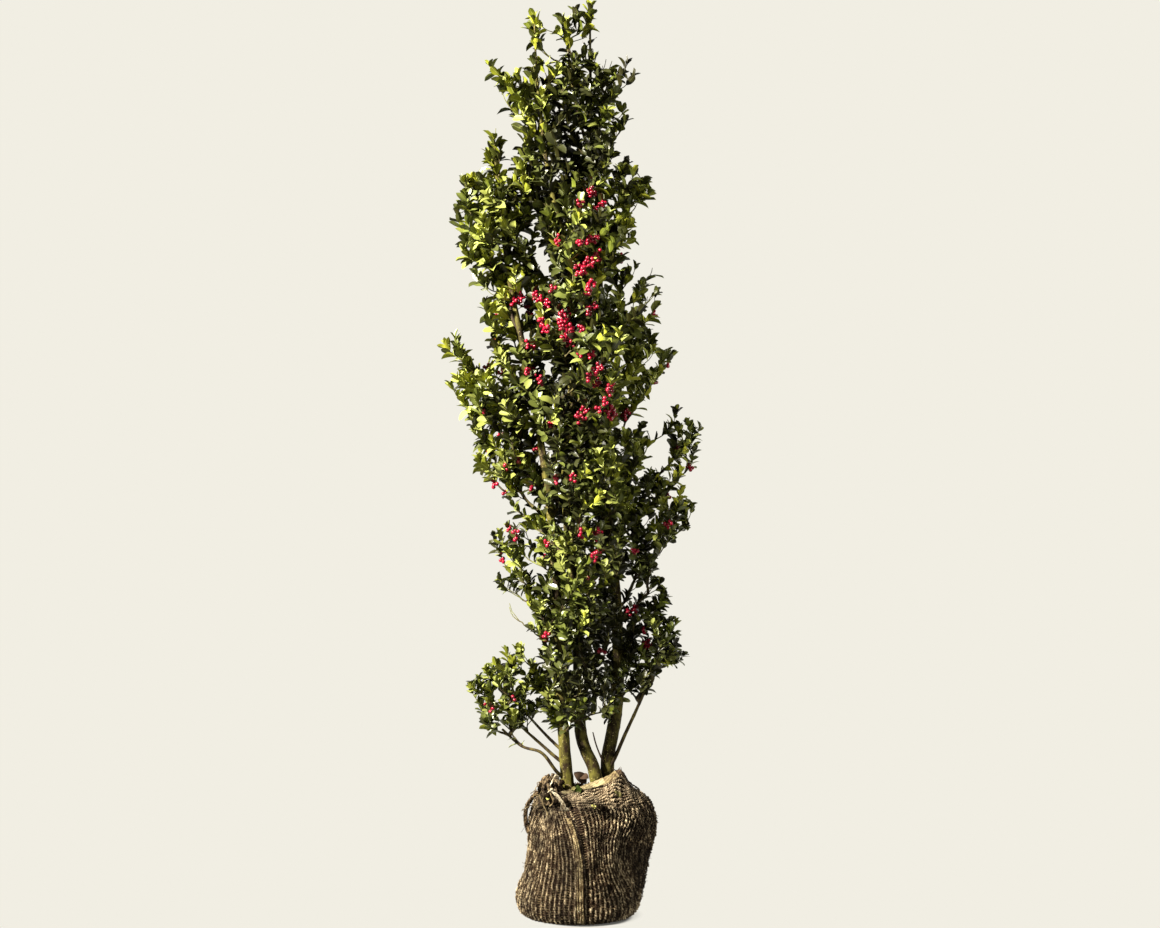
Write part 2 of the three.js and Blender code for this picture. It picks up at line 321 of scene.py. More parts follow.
def grid_quads(rows: int, columns: int, wrap: bool) -> np.ndarray:
    """Quads of a grid whose vertices are numbered row by row.

    Args:
        rows: vertices from first to last row.
        columns: vertices in one row.
        wrap: whether the last column joins the first.

    Returns:
        Indices of shape (quads, 4).
    """
    r, c = np.meshgrid(np.arange(rows - 1), np.arange(columns if wrap else columns - 1), indexing="ij")
    here, after = r * columns + c, r * columns + (c + 1) % columns
    return np.stack([here, after, after + columns, here + columns], -1).reshape(-1, 4)


def grid_uv(rows: int, columns: int, wrap: bool, v: np.ndarray | None = None) -> np.ndarray:
    """UV of a grid's quads: u runs 0 to 1 across a row and v from row to row.

    Args:
        rows: vertices from first to last row.
        columns: vertices in one row.
        wrap: whether the last column joins the first.
        v: the v of each row, or None for 0 to 1.

    Returns:
        Coordinates of shape (quads, 4, 2).
    """
    across = columns if wrap else columns - 1
    v = np.linspace(0, 1, rows) if v is None else v
    r, c = np.meshgrid(np.arange(rows - 1), np.arange(across), indexing="ij")
    u0, u1 = c / across, (c + 1) / across
    corners = [(u0, v[r]), (u1, v[r]), (u1, v[r + 1]), (u0, v[r + 1])]
    return np.stack([np.stack(pair, -1) for pair in corners], -2).reshape(-1, 4, 2)


def globe(lift: np.ndarray, corners: int) -> np.ndarray:
    """A ball of radius 1: rings at the given angles of height, and a point below and above them.

    Args:
        lift: the rings' angles above the level, in radians.
        corners: corners of a ring.

    Returns:
        Positions of shape (rings + 2, corners, 3).
    """
    ring = level_way(circle(corners))
    rows = np.cos(lift)[:, None, None] * ring[None] + np.sin(lift)[:, None, None] * UP
    return np.concatenate([rows[:1] * 0 - UP, rows, rows[:1] * 0 + UP])


@dataclass
class Surface:
    """Vertices, quads and per-corner UV of a mesh, ready to be joined with others."""

    points: np.ndarray
    quads: np.ndarray
    uv: np.ndarray

    @staticmethod
    def grid(points: np.ndarray, wrap: bool, v: np.ndarray | None = None) -> "Surface":
        """A surface over a grid of points.

        Args:
            points: positions of shape (rows, columns, 3).
            wrap: whether the last column joins the first.
            v: the v of each row, or None for 0 to 1.

        Returns:
            The surface.
        """
        shape = points.shape[:2]
        return Surface(points.reshape(-1, 3), grid_quads(*shape, wrap), grid_uv(*shape, wrap, v))

    @staticmethod
    def copies(points: np.ndarray, quads: np.ndarray, uv: np.ndarray) -> "Surface":
        """Many copies of one mesh, each with points of its own.

        Args:
            points: positions of shape (copies, points, 3).
            quads: quads of one copy.
            uv: UV of one copy, or of each.

        Returns:
            One surface with all copies.
        """
        count, size = points.shape[:2]
        every = quads[None] + (np.arange(count) * size)[:, None, None]
        uv = np.broadcast_to(uv, (count, len(quads), 4, 2))
        return Surface(points.reshape(-1, 3), every.reshape(-1, 4), uv.reshape(-1, 4, 2))

    @staticmethod
    def join(parts: list["Surface"]) -> "Surface":
        """Joins surfaces into one.

        Args:
            parts: the surfaces.

        Returns:
            One surface with the vertices and faces of all.
        """
        offsets = np.cumsum([0] + [len(p.points) for p in parts[:-1]])
        quads = np.concatenate([p.quads + o for p, o in zip(parts, offsets)])
        points = np.concatenate([p.points for p in parts])
        return Surface(points, quads, np.concatenate([p.uv for p in parts]))

    def place(self, name: str, finish: bpy.types.Material) -> bpy.types.Object:
        """Makes a smooth Blender object of the surface, dressed and riding on the plant's one body.

        Args:
            name: name of the piece.
            finish: its material.

        Returns:
            The new object.
        """
        mesh = bpy.data.meshes.new(name)
        mesh.from_pydata(self.points.astype(np.float32), [], self.quads.tolist())
        layer = mesh.uv_layers.new(name="pattern")
        layer.data.foreach_set("uv", self.uv.astype(np.float32).ravel())
        mesh.polygons.foreach_set("use_smooth", np.ones(len(self.quads), bool))
        mesh.materials.append(finish)
        mesh.update()
        piece = bpy.data.objects.new(name, mesh)
        bpy.context.scene.collection.objects.link(piece)
        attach(piece, "root")
        LOG.info("%s: %d faces", name, len(self.quads))
        return piece


def ended(rows: np.ndarray) -> np.ndarray:
    """Doubles the first and the last row along paths.

    Args:
        rows: values with the points of a path on the second axis.

    Returns:
        The values with two more points.
    """
    return np.concatenate([rows[:, :1], rows, rows[:, -1:]], axis=1)


def tubes(path: np.ndarray, radius: np.ndarray, sides: int) -> Surface:
    """Round tubes along many paths of equal point count.

    A tube's ring is its centre plus radius times the cosine of the turn on the first cross direction and
    the sine on the second. At both ends a last ring is drawn together to nearly a point.

    Args:
        path: centres of shape (tubes, points, 3).
        radius: radii of shape (tubes, points).
        sides: corners of a ring.

    Returns:
        One surface with all tubes; u runs round a tube, and v is the length along it in metres.
    """
    across, other = (ended(rows) for rows in frames(path)[1:])
    path = ended(path)
    tip = np.full((len(path), 1), 1e-5)
    radius = np.concatenate([tip, radius, tip], axis=1)
    turn = circle(sides)[:, None]
    spread = across[:, :, None] * np.cos(turn) + other[:, :, None] * np.sin(turn)
    points = path[:, :, None] + radius[:, :, None, None] * spread
    count, rings = path.shape[:2]
    quads = grid_quads(rings, sides, True)
    uv = np.broadcast_to(grid_uv(rings, sides, True), (count, len(quads), 4, 2)).copy()
    length = arc_lengths(path)
    row = np.repeat(np.arange(rings - 1), sides)
    uv[:, :, :2, 1] = length[:, row, None]
    uv[:, :, 2:, 1] = length[:, row + 1, None]
    return Surface.copies(points.reshape(count, -1, 3), quads, uv)


# Finishes


@dataclass
class Wiring:
    """A node tree to which nodes are added together with their settings and inputs."""

    tree: bpy.types.NodeTree

    def feed(self, node: bpy.types.Node, inputs: dict) -> None:
        """Sets a node's inputs: a socket is linked, and any other value becomes the input's own.

        Args:
            node: the node.
            inputs: socket or value by the input's name or place; a colour is three numbers.
        """
        for key, value in inputs.items():
            if isinstance(value, bpy.types.NodeSocket):
                self.tree.links.new(value, node.inputs[key])
            elif node.inputs[key].type == "RGBA":
                node.inputs[key].default_value = (*value, 1)
            else:
                node.inputs[key].default_value = value

    def add(self, kind: str, inputs: dict | None = None, **settings: object) -> bpy.types.Node:
        """Adds a node.

        Args:
            kind: its type, without the words that all shader nodes start with.
            inputs: what to feed it.
            settings: its own settings, such as its operation.

        Returns:
            The node.
        """
        node = self.tree.nodes.new("ShaderNode" + kind)
        for name, value in settings.items():
            setattr(node, name, value)
        self.feed(node, inputs or {})
        return node

    def math(self, operation: str, *values: object, **settings: object) -> bpy.types.NodeSocket:
        """Adds a Math node.

        Args:
            operation: its operation.
            values: sockets or numbers for its inputs, in order.
            settings: other settings.

        Returns:
            The socket with the result.
        """
        return self.add("Math", dict(enumerate(values)), operation=operation, **settings).outputs[0]

    def vector(self, operation: str, inputs: dict) -> bpy.types.bpy_prop_collection:
        """Adds a Vector Math node.

        Args:
            operation: its operation.
            inputs: what to feed it.

        Returns:
            Its outputs.
        """
        return self.add("VectorMath", inputs, operation=operation).outputs

    def ramp(
        self,
        value: bpy.types.NodeSocket,
        start: float,
        end: float,
        low: float = 0.0,
        high: float = 1.0,
        **settings: object,
    ) -> bpy.types.NodeSocket:
        """Maps a range of a value to another, with no overshoot.

        Args:
            value: the socket with the value.
            start: where the range starts.
            end: where it ends.
            low: the result at the start.
            high: the result at the end.
            settings: other settings of the node.

        Returns:
            The socket with the result.
        """
        inputs = {"Value": value, "From Min": start, "From Max": end, "To Min": low, "To Max": high}
        return self.add("MapRange", inputs, **settings).outputs[0]

    def blend(self, share: object, none: object, full: object) -> bpy.types.NodeSocket:
        """Mixes two colours.

        Args:
            share: the share of the second.
            none: the first colour.
            full: the second colour.

        Returns:
            The socket with the mix.
        """
        return self.add("Mix", {"Factor": share, "A": none, "B": full}, data_type="RGBA").outputs["Result"]

    def noise(self, place: bpy.types.NodeSocket, scale: object, detail: float) -> bpy.types.NodeSocket:
        """Adds a noise texture.

        Args:
            place: the socket with the place.
            scale: waves in a metre.
            detail: how many finer layers it has.

        Returns:
            The socket with the noise, from 0 to 1.
        """
        return self.add("TexNoise", {"Vector": place, "Scale": scale, "Detail": detail}).outputs["Fac"]

    def mottle(
        self,
        light: Triple,
        dark: Triple,
        scales: tuple[float, float],
        bias: float,
        stretch: Triple = (1.0, 1.0, 1.0),
        patches: tuple[float, float] = (12.0, 0.0),
    ) -> bpy.types.bpy_prop_collection:
        """Adds the mottle group.

        Args:
            light: the light colour.
            dark: the dark colour.
            scales: scale of the coarse and of the fine noise.
            bias: the higher, the more of the dark colour.
            stretch: factors on the place; less than 1 draws the pattern out.
            patches: scale and depth of the dim patches.

        Returns:
            Its outputs Color and Height.
        """
        inputs = {
            "Light": light,
            "Dark": dark,
            "Scale": scales[0],
            "Fine Scale": scales[1],
            "Bias": bias,
            "Stretch": stretch,
            "Patch Scale": patches[0],
            "Patch Depth": patches[1],
        }
        return self.add("Group", inputs, node_tree=mottle_group()).outputs

    def cover(
        self,
        colour: bpy.types.NodeSocket,
        roughness: float,
        specular: float,
        height: bpy.types.NodeSocket,
        strength: float,
        depth: float,
    ) -> None:
        """Feeds the Principled shader with a colour, its gloss and a relief.

        Args:
            colour: the socket with the colour.
            roughness: its roughness.
            specular: its specular level.
            height: the socket with the relief's height.
            strength: share of the relief's effect.
            depth: height of the relief in metres.
        """
        bump = self.add("Bump", {"Strength": strength, "Distance": depth, "Height": height})
        gloss = {"Roughness": roughness, "Specular IOR Level": specular}
        shader = self.tree.nodes["Principled BSDF"]
        self.feed(shader, {"Base Color": colour, **gloss, "Normal": bump.outputs["Normal"]})

    def close(self, colour: bpy.types.NodeSocket, height: bpy.types.NodeSocket) -> bpy.types.NodeTree:
        """Ends a group with its outputs Color and Height.

        Args:
            colour: the socket with the colour.
            height: the socket with the height.

        Returns:
            The group.
        """
        self.feed(self.tree.nodes.new("NodeGroupOutput"), {"Color": colour, "Height": height})
        return self.tree


def new_material(name: str) -> tuple[bpy.types.Material, Wiring]:
    """A material with nodes.

    Args:
        name: name of the material.

    Returns:
        The material and its wiring.
    """
    material = bpy.data.materials.new(name)
    material.use_nodes = True
    return material, Wiring(material.node_tree)


def new_group(name: str, inputs: dict) -> tuple[Wiring, bpy.types.bpy_prop_collection]:
    """A shader node group with the given inputs, and the outputs Color and Height.

    Args:
        name: name of the group.
        inputs: default of each input: four numbers for a colour, three for a vector, one for a value.

    Returns:
        Its wiring, and the sockets that give what comes in.
    """
    tree = bpy.data.node_groups.new(name, "ShaderNodeTree")
    kinds = {1: "NodeSocketFloat", 3: "NodeSocketVector", 4: "NodeSocketColor"}
    for label, value in inputs.items():
        socket = tree.interface.new_socket(label, in_out="INPUT", socket_type=kinds[np.size(value)])
        socket.default_value = value
    for label, size in (("Color", 4), ("Height", 1)):
        tree.interface.new_socket(label, in_out="OUTPUT", socket_type=kinds[size])
    return Wiring(tree), tree.nodes.new("NodeGroupInput").outputs


def mottle_group() -> bpy.types.NodeTree:
    """Group that mixes two colours by two sizes of noise, dims them in patches, and gives a fine height.

    Returns:
        The node group "mottle", made once.
    """
    if "mottle" in bpy.data.node_groups:
        return bpy.data.node_groups["mottle"]
    inputs = {
        "Light": (1, 1, 1, 1),
        "Dark": (0, 0, 0, 1),
        "Scale": 40.0,
        "Fine Scale": 400.0,
        "Bias": 0.5,
        "Stretch": (1, 1, 1),
        "Patch Scale": 12.0,
        "Patch Depth": 0.0,
    }
    group, given = new_group("mottle", inputs)
    place = group.add("TexCoord").outputs["Object"]
    stretched = group.vector("MULTIPLY", {0: place, 1: given["Stretch"]})[0]
    coarse = group.noise(stretched, given["Scale"], 5)
    fine = group.noise(stretched, given["Fine Scale"], 3)
    height = group.math("MULTIPLY_ADD", fine, 0.35, coarse)
    offset = group.math("SUBTRACT", height, given["Bias"])
    share = group.math("MULTIPLY_ADD", offset, 4.0, 0.3, use_clamp=True)
    mixed = group.blend(share, given["Dark"], given["Light"])
    dirt = group.ramp(group.noise(place, given["Patch Scale"], 2), 0.60, 0.40)
    left = group.math("SUBTRACT", 1.0, group.math("MULTIPLY", dirt, given["Patch Depth"]))
    return group.close(group.vector("SCALE", {0: mixed, "Scale": left})[0], height)


def leaf_group() -> bpy.types.NodeTree:
    """Group for a leaf blade: a pale midrib, faint side veins and a blotchy blade.

    u of the leaf's UV runs across it with the midrib at 0.5, and v from its stalk to its tip.

    Returns:
        The node group "leaf blade", made once.
    """
    if "leaf blade" in bpy.data.node_groups:
        return bpy.data.node_groups["leaf blade"]
    inputs = {"Blade": (0, 1, 0, 1), "Shade": (0, 0.5, 0, 1), "Midrib": (1, 1, 0, 1)}
    group, given = new_group("leaf blade", inputs)
    place = group.add("TexCoord").outputs
    split = group.add("SeparateXYZ", {0: place["UV"]}).outputs
    away = group.math("ABSOLUTE", group.math("SUBTRACT", split["X"], 0.5))
    rib = group.ramp(away, 0.02, 0.075, 0.75, 0.0)
    blotch = group.ramp(group.noise(place["Object"], 55, 3), 0.35, 0.65)
    blade = group.blend(blotch, given["Shade"], given["Blade"])
    # Side veins leave the midrib forwards: stripes of v less a share of the distance from the midrib.
    slant = group.math("MULTIPLY_ADD", away, -0.55, split["Y"])
    wave = group.math("SINE", group.math("MULTIPLY", slant, 50.0))
    height = group.math("MULTIPLY_ADD", wave, 0.12, rib)
    return group.close(group.blend(rib, blade, given["Midrib"]), height)


@dataclass(frozen=True)
class LeafFinish:
    """Glossy upper side with a pale midrib, and an underside of its own colour."""

    name: str
    blade: Triple
    shade: Triple
    midrib: Triple
    underside: Triple
    roughness: float = 0.3
    specular: float = 0.45

    def make(self) -> bpy.types.Material:
        """Builds the material.

        Returns:
            The leaf material.
        """
        material, wiring = new_material(self.name)
        colours = {"Blade": self.blade, "Shade": self.shade, "Midrib": self.midrib}
        blade = wiring.add("Group", colours, node_tree=leaf_group()).outputs
        behind = wiring.add("NewGeometry").outputs["Backfacing"]
        colour = wiring.blend(behind, blade["Color"], self.underside)
        wiring.cover(colour, self.roughness, self.specular, blade["Height"], 0.5, 0.0006)
        return material


@dataclass(frozen=True)
class MottledFinish:
    """A dull surface of two colours mixed by noise, such as bark or soil."""

    name: str
    light: Triple
    dark: Triple
    scales: tuple[float, float]
    bias: float = 0.62
    stretch: Triple = (1.0, 1.0, 1.0)
    roughness: float = 0.8
    relief: float = 0.001
    specular: float = 0.2

    def make(self) -> bpy.types.Material:
        """Builds the material.

        Returns:
            The mottled material.
        """
        material, wiring = new_material(self.name)
        mottle = wiring.mottle(self.light, self.dark, self.scales, self.bias, self.stretch)
        wiring.cover(mottle["Color"], self.roughness, self.specular, mottle["Height"], 0.7, self.relief)
        return material


@dataclass(frozen=True)
class BarkFinish:
    """Smooth olive bark: brown and black mottling in long patches, and small pale pores across it."""

    name: str
    light: Triple
    dark: Triple
    pore: Triple = (0.26, 0.22, 0.09)
    pore_scale: float = 120.0

    def make(self) -> bpy.types.Material:
        """Builds the material.

        Returns:
            The bark material.
        """
        material, wiring = new_material(self.name)
        mottle = wiring.mottle(self.light, self.dark, (66, 330), 0.63, (1, 1, 0.45), (16, 0.30))
        place = wiring.add("TexCoord").outputs["Object"]
        flat = wiring.vector("MULTIPLY", {0: place, 1: (1.0, 1.0, 1.8)})[0]
        cells = wiring.add("TexVoronoi", {"Vector": flat, "Scale": self.pore_scale}).outputs
        pore = wiring.ramp(cells["Distance"], 0.22, 0.12)
        height = wiring.math("MULTIPLY_ADD", pore, 0.25, mottle["Height"])
        wiring.cover(wiring.blend(pore, mottle["Color"], self.pore), 0.7, 0.12, height, 0.8, 0.0012)
        return material


@dataclass(frozen=True)
class BerryFinish:
    """Smooth crimson skin with a small dark tip, where v of the UV nears 1."""

    name: str = "berry skin"
    skin: Triple = (0.32, 0.004, 0.026)
    shade: Triple = (0.15, 0.003, 0.014)
    tip: Triple = (0.02, 0.008, 0.004)

    def make(self) -> bpy.types.Material:
        """Builds the material.

        Returns:
            The berry material.
        """
        material, wiring = new_material(self.name)
        mottle = wiring.mottle(self.skin, self.shade, (30, 250), 0.6)
        split = wiring.add("SeparateXYZ", {0: wiring.add("TexCoord").outputs["UV"]}).outputs
        colour = wiring.blend(wiring.ramp(split["Y"], 0.86, 0.94), mottle["Color"], self.tip)
        gloss = {"Roughness": 0.30, "Specular IOR Level": 0.35, "Coat Weight": 0.12, "Coat Roughness": 0.15}
        wiring.feed(material.node_tree.nodes["Principled BSDF"], {"Base Color": colour, **gloss})
        return material


@dataclass(frozen=True)
class YarnFinish:
    """Jute yarn: two browns in patches, with fine twisted fibres round it by its own UV, and painted shade in
    the grooves between the plies.
    """

    name: str
    light: Triple
    dark: Triple
    bias: float = 0.62
    twist: float = 420.0
    plies: float = 2.0
    relief: float = 0.0006
    patch_depth: float = 0.62

    def make(self) -> bpy.types.Material:
        """Builds the material.

        Returns:
            The yarn material.
        """
        material, wiring = new_material(self.name)
        patches = (17, self.patch_depth)
        mottle = wiring.mottle(self.light, self.dark, (150, 480), self.bias, (1.0, 1.0, 0.4), patches)
        split = wiring.add("SeparateXYZ", {0: wiring.add("TexCoord").outputs["UV"]}).outputs
        turned = wiring.math("MULTIPLY", split["X"], FULL_TURN * self.plies)
        wave = wiring.math("SINE", wiring.math("MULTIPLY_ADD", split["Y"], self.twist, turned))
        height = wiring.math("MULTIPLY_ADD", wave, 0.3, mottle["Height"])
        # Painted shade: the colour dims in the grooves of the twist, down to 0.62 of itself.
        shade = wiring.ramp(wave, -1, 0.4, 0.62, 1.0)
        colour = wiring.vector("SCALE", {0: mottle["Color"], "Scale": shade})[0]
        wiring.cover(colour, 0.85, 0.12, height, 0.8, self.relief)
        return material


# The studio


@dataclass
class PhotoCamera:
    """The camera at the photograph's place: level, and square to the plant's front."""

    place: Triple = (-0.0048, -5.0, 1.080)
    frame_width: float = 2.784
    sensor: float = 36.0

    def build(self) -> None:
        """Makes the scene's own camera; its lens is the sensor's width times distance over width."""
        data = bpy.data.cameras.new("camera")
        data.sensor_width = self.sensor
        data.sensor_fit = "HORIZONTAL"
        data.lens = self.sensor * abs(self.place[1]) / self.frame_width
        data.dof.use_dof = False
        camera = bpy.data.objects.new("camera", data)
        camera.location = self.place
        camera.rotation_euler = (np.pi / 2, 0, 0)
        bpy.context.scene.collection.objects.link(camera)
        bpy.context.scene.camera = camera


@dataclass(frozen=True)
class Lamp:
    """A square area light that points at the crown's middle: its name, place, power in watts and side."""

    name: str
    place: Triple
    watts: float
    size: float


KEY_LIGHT = Lamp("key light", (-3.3, -2.3, 3.5), 1550.0, 0.45)
FILL_LIGHT = Lamp("fill light", (3.2, -2.7, 2.2), 30.0, 1.3)
RIM_LIGHT = Lamp("rim light", (-1.8, 2.8, 2.9), 60.0, 1.6)
BACK_LIGHT = Lamp("back light", (3.1, 1.9, 2.6), 90.0, 1.4)


@dataclass
class Studio:
    """Pale surround, pale floor and soft lights: a strong key from the upper left and weak fills."""

    surround: Triple = (0.880, 0.855, 0.768)
    ambient: float = 0.10
    floor_radius: float = 1.9
    floor_plain: float = 0.36
    floor_colour: Triple = (0.235, 0.24, 0.24)
    # Painted contact shadow on the floor round the ball's foot: its middle, its reach and how dark it gets.
    foot_middle: Triple = (0.008, -0.031, 0.0)
    foot_reach: float = 0.117
    foot_shade: float = 0.85
    crown_place: Triple = (2.9, -2.9, 2.6)
    crown_aim: Triple = (0.20, 0.0, 1.40)
    crown_watts: float = 260.0
    crown_cone: float = 18.0

    def hang(self, data: bpy.types.Light, place: Triple, aim: Triple) -> None:
        """Puts a light in its place and turns it to a point.

        Args:
            data: the light.
            place: where it stands.
            aim: the point.
        """
        lamp = bpy.data.objects.new(data.name, data)
        lamp.location = place
        way = np.array(aim) - np.array(place)
        lamp.rotation_euler = (np.arctan2(np.hypot(way[0], way[1]), -way[2]), 0, np.arctan2(-way[0], way[1]))
        bpy.context.scene.collection.objects.link(lamp)

    def light(self, lamp: Lamp) -> None:
        """Adds an area light.

        Args:
            lamp: the light.
        """
        data = bpy.data.lights.new(lamp.name, "AREA")
        data.energy = lamp.watts
        data.color = (1.0, 0.94, 0.82)
        data.size = lamp.size
        self.hang(data, lamp.place, (0.0, 0.0, 1.1))

    def crown_light(self) -> None:
        """Adds a soft spot that lifts the shaded right side of the crown, above the low leaves and ball."""
        data = bpy.data.lights.new("crown light", "SPOT")
        data.energy = self.crown_watts
        data.color = (1.0, 0.96, 0.84)
        data.spot_size = np.radians(self.crown_cone)
        data.spot_blend = 1.0
        data.shadow_soft_size = 0.35
        self.hang(data, self.crown_place, self.crown_aim)

    def world(self) -> None:
        """Sets the surround: its full colour to the camera, and a dimmer one as light."""
        world = bpy.data.worlds.new("studio")
        bpy.context.scene.world = world
        world.use_nodes = True
        wiring = Wiring(world.node_tree)
        seen = world.node_tree.nodes["Background"]
        wiring.feed(seen, {"Color": self.surround})
        lit = wiring.add("Background", {"Color": (1.0, 0.97, 0.9), "Strength": self.ambient})
        rays = wiring.add("LightPath").outputs["Is Camera Ray"]
        mix = wiring.add("MixShader", {0: rays, 1: lit.outputs[0], 2: seen.outputs[0]})
        wiring.feed(world.node_tree.nodes["World Output"], {"Surface": mix.outputs[0]})

    def floor(self) -> None:
        """Lays a round floor: its colour melts into the surround outwards, and a painted contact shadow lies
        at the ball's foot.

        Right under the ball's front edge a smooth step darkens the floor and what it glows, as painted
        shadow.
        """
        corners, rings = 96, np.linspace(0.002, self.floor_radius, 24)
        points = rings[:, None, None] * level_way(circle(corners))[None]
        mesh = bpy.data.meshes.new("floor")
        mesh.from_pydata(points.reshape(-1, 3), [], grid_quads(len(rings), corners, True).tolist())
        floor = bpy.data.objects.new("floor", mesh)
        bpy.context.scene.collection.objects.link(floor)
        material, wiring = new_material("pale floor")
        place = wiring.add("TexCoord").outputs["Object"]
        outwards = wiring.vector("LENGTH", {0: place})["Value"]
        eased = {"interpolation_type": "SMOOTHSTEP"}
        melt = wiring.ramp(outwards, 0.116, 0.150, 1 - self.floor_plain, 1.0, **eased)
        # Painted contact shadow: near the ball's foot the floor's colour turns near-black and its glow fades.
        off = wiring.vector("DISTANCE", {0: place, 1: self.foot_middle})["Value"]
        lift = wiring.ramp(off, self.foot_reach - 0.016, self.foot_reach, 1 - self.foot_shade, 1.0, **eased)
        shader = material.node_tree.nodes["Principled BSDF"]
        colour = wiring.blend(lift, (0.012, 0.010, 0.008), self.floor_colour)
        wiring.feed(shader, {"Base Color": colour, "Roughness": 0.9})
        glow = wiring.add("Emission", {"Color": self.surround})
        share = wiring.math("MULTIPLY", melt, lift)
        mix = wiring.add("MixShader", {0: share, 1: shader.outputs[0], 2: glow.outputs[0]})
        wiring.feed(material.node_tree.nodes["Material Output"], {"Surface": mix.outputs[0]})
        mesh.materials.append(material)

    def build(self) -> None:
        """Builds world, lights and floor, and sets the plain view transform."""
        self.world()
        self.light(KEY_LIGHT)
        self.light(FILL_LIGHT)
        self.crown_light()
        self.light(RIM_LIGHT)
        self.light(BACK_LIGHT)
        self.floor()
        bpy.context.scene.view_settings.view_transform = "Standard"
        bpy.context.scene.view_settings.look = "None"


# Root ball


@dataclass
class Strands:
    """Centre lines with the surface's outward and sideways directions, and how wide their places are."""

    centre: np.ndarray
    outward: np.ndarray
    sideways: np.ndarray
    pitch: np.ndarray


@dataclass
class BallShape:
    """The one shape that soil, knit and hem share: a ball of soil, its lap edge and its open top.

    A wale, a rib of the knit, is named by its angle at the foot. Its path has three stretches: inwards
    under the ball, up the side, and from the rim to the edge of the opening round the stems.

    The outline's rows are height, left and right in millimetres; the opening's are degrees and a place;
    drawn holds degrees, and how far the knot and the tuck draw a wale there; the lap's rows are height
    and degrees.
    """

    top: float = 0.312
    depth_share: float = 0.94
    foot_depth: float = 0.07
    uneven: float = 0.018
    rim: float = 0.280
    under_share: float = 0.25
    outline: tuple[Triple, ...] = (
        (0, -135, 113), (13, -153, 133), (45, -160, 145), (105, -145, 153), (165, -134, 168),
        (228, -129, 180), (268, -120, 167), (293, -104, 145), (305, -80, 116), (312, -60, 94),
    )
    opening: tuple[tuple[float, float, float, float], ...] = (
        (0, 134, 4, 295), (30, 116, 42, 293), (60, 70, 66, 296), (90, 10, 70, 299),
        (120, -38, 54, 302), (150, -64, 22, 307), (180, -74, -14, 315), (200, -86, -48, 318),
        (215, -96, -72, 312), (232, -86, -92, 305), (246, -62, -95, 303), (256, -40, -84, 306),
        (268, -8, -75, 313), (280, 30, -66, 325), (292, 64, -56, 338), (304, 89, -46, 350),
        (318, 111, -40, 321), (338, 132, -23, 304),
    )
    drawn: tuple[Triple, ...] = (
        (0, 13, 44), (14, 12, 48), (30, 10, 48), (60, 6, 38), (90, 4, 20), (110, 0, 7),
        (130, -4, 0), (150, -16, 0), (165, -28, 0), (180, -37, 0), (195, -26, 0), (210, -13, 0),
        (224, 0, 0), (238, 13, 0), (250, 22, 0), (262, 28, 0), (276, 32, 2), (281, 23, 4),
        (291, 21, 9), (310, 20, 19), (325, 18, 27), (340, 16, 35),
    )
    lap: tuple[tuple[float, float], ...] = (
        (0, 276), (22, 276), (80, 272), (143, 266.5), (212, 257), (266, 248), (290, 243), (300, 240),
    )
    cloth_thickness: float = 0.0052
    lap_step: float = 0.0050
    lap_width: float = 0.030
    lap_radius: float = 0.155
    ledge_middle: float = 279.0
    shaded_side: float = -20.0

    def ball_point(self, angle: np.ndarray, z: np.ndarray) -> np.ndarray:
        """A point of the ball's side.

        The outline gives a middle and a half width at each height. The radius is the half width, times
        an unevenness, plus folds of the cloth and the step where it laps over itself. Noise along the
        outward way roughens it, more on the shaded side.

        Args:
            angle: angles round the ball in radians.
            z: heights in metres.

        Returns:
            Positions.
        """
        fine = spline(np.array(self.outline) * MM, 200)
        left, right = np.moveaxis(between(z, fine[:, 0], fine[:, 1:]), -1, 0)
        rise = self.uneven * np.sin(np.pi * z / self.top)
        radius = (right - left) / 2 - self.cloth_thickness
        radius = radius * (1 + rise * (np.sin(3 * angle + 1) + np.sin(5 * angle + z / MM / 60)))
        mask = smooth(z / 0.04)
        fold = 0.0016 * np.sin(14 * angle + 3.5 * np.sin(2 * angle + z * 9) + z * 12)
        fold += 0.0013 * np.sin(23 * angle - z * 16 + 2 * np.sin(3 * angle))
        fold += 0.0012 * np.sin(z * 70 + 2.2 * np.sin(4 * angle + 1)) * np.sin(5 * angle + 2)
        radius = radius + mask * (fold + self.lap_rise(angle, z) + self.ledge(angle, z))
        middle = (left + right) / 2
        depth = self.depth_share * (1 + self.foot_depth * (1 - smooth(z / 0.06)))
        side = np.stack([middle + radius * np.cos(angle), depth * radius * np.sin(angle), z + 0 * angle], -1)
        shaded = smooth((np.cos(angle - np.radians(self.shaded_side)) + 0.1) / 0.8)
        rough = 0.0017 * (1 + 0.9 * shaded) * ripple(side, 0.019, 3.0) + 0.0010 * ripple(side, 0.009, 8.0)
        rough = rough + 0.0016 * shaded * ripple(side, 0.033, 5.0)
        return side + level_way(angle + 0 * z) * (mask * rough)[..., None]

    def lap_edge(self, z: np.ndarray) -> np.ndarray:
        """Where the lap's edge runs.

        Args:
            z: heights in metres.

        Returns:
            Its angles in radians.
        """
        height, angle = np.array(self.lap).T
        return np.radians(np.interp(z / MM, height, angle))

    def lap_rise(self, angle: np.ndarray, z: np.ndarray) -> np.ndarray:
        """Height of the upper layer of cloth, which ends in a sharp step along the lap edge.

        Left of the edge the cloth rises over the lap's width; right of it it drops within 3 mm.

        Args:
            angle: angles round the ball in radians.
            z: heights in metres.

        Returns:
            How far the cloth stands proud, in metres.
        """
        across = ((angle - self.lap_edge(z) + np.pi) % FULL_TURN - np.pi) * self.lap_radius
        before = smooth(1 + across / self.lap_width) * (across <= 0)
        after = smooth(1 - across / 0.003) * (across > 0)
        dip = -0.6 * bell((across - 0.006) / 0.004)
        return self.lap_step * (before + after + dip) * smooth((0.282 - z) / 0.030)

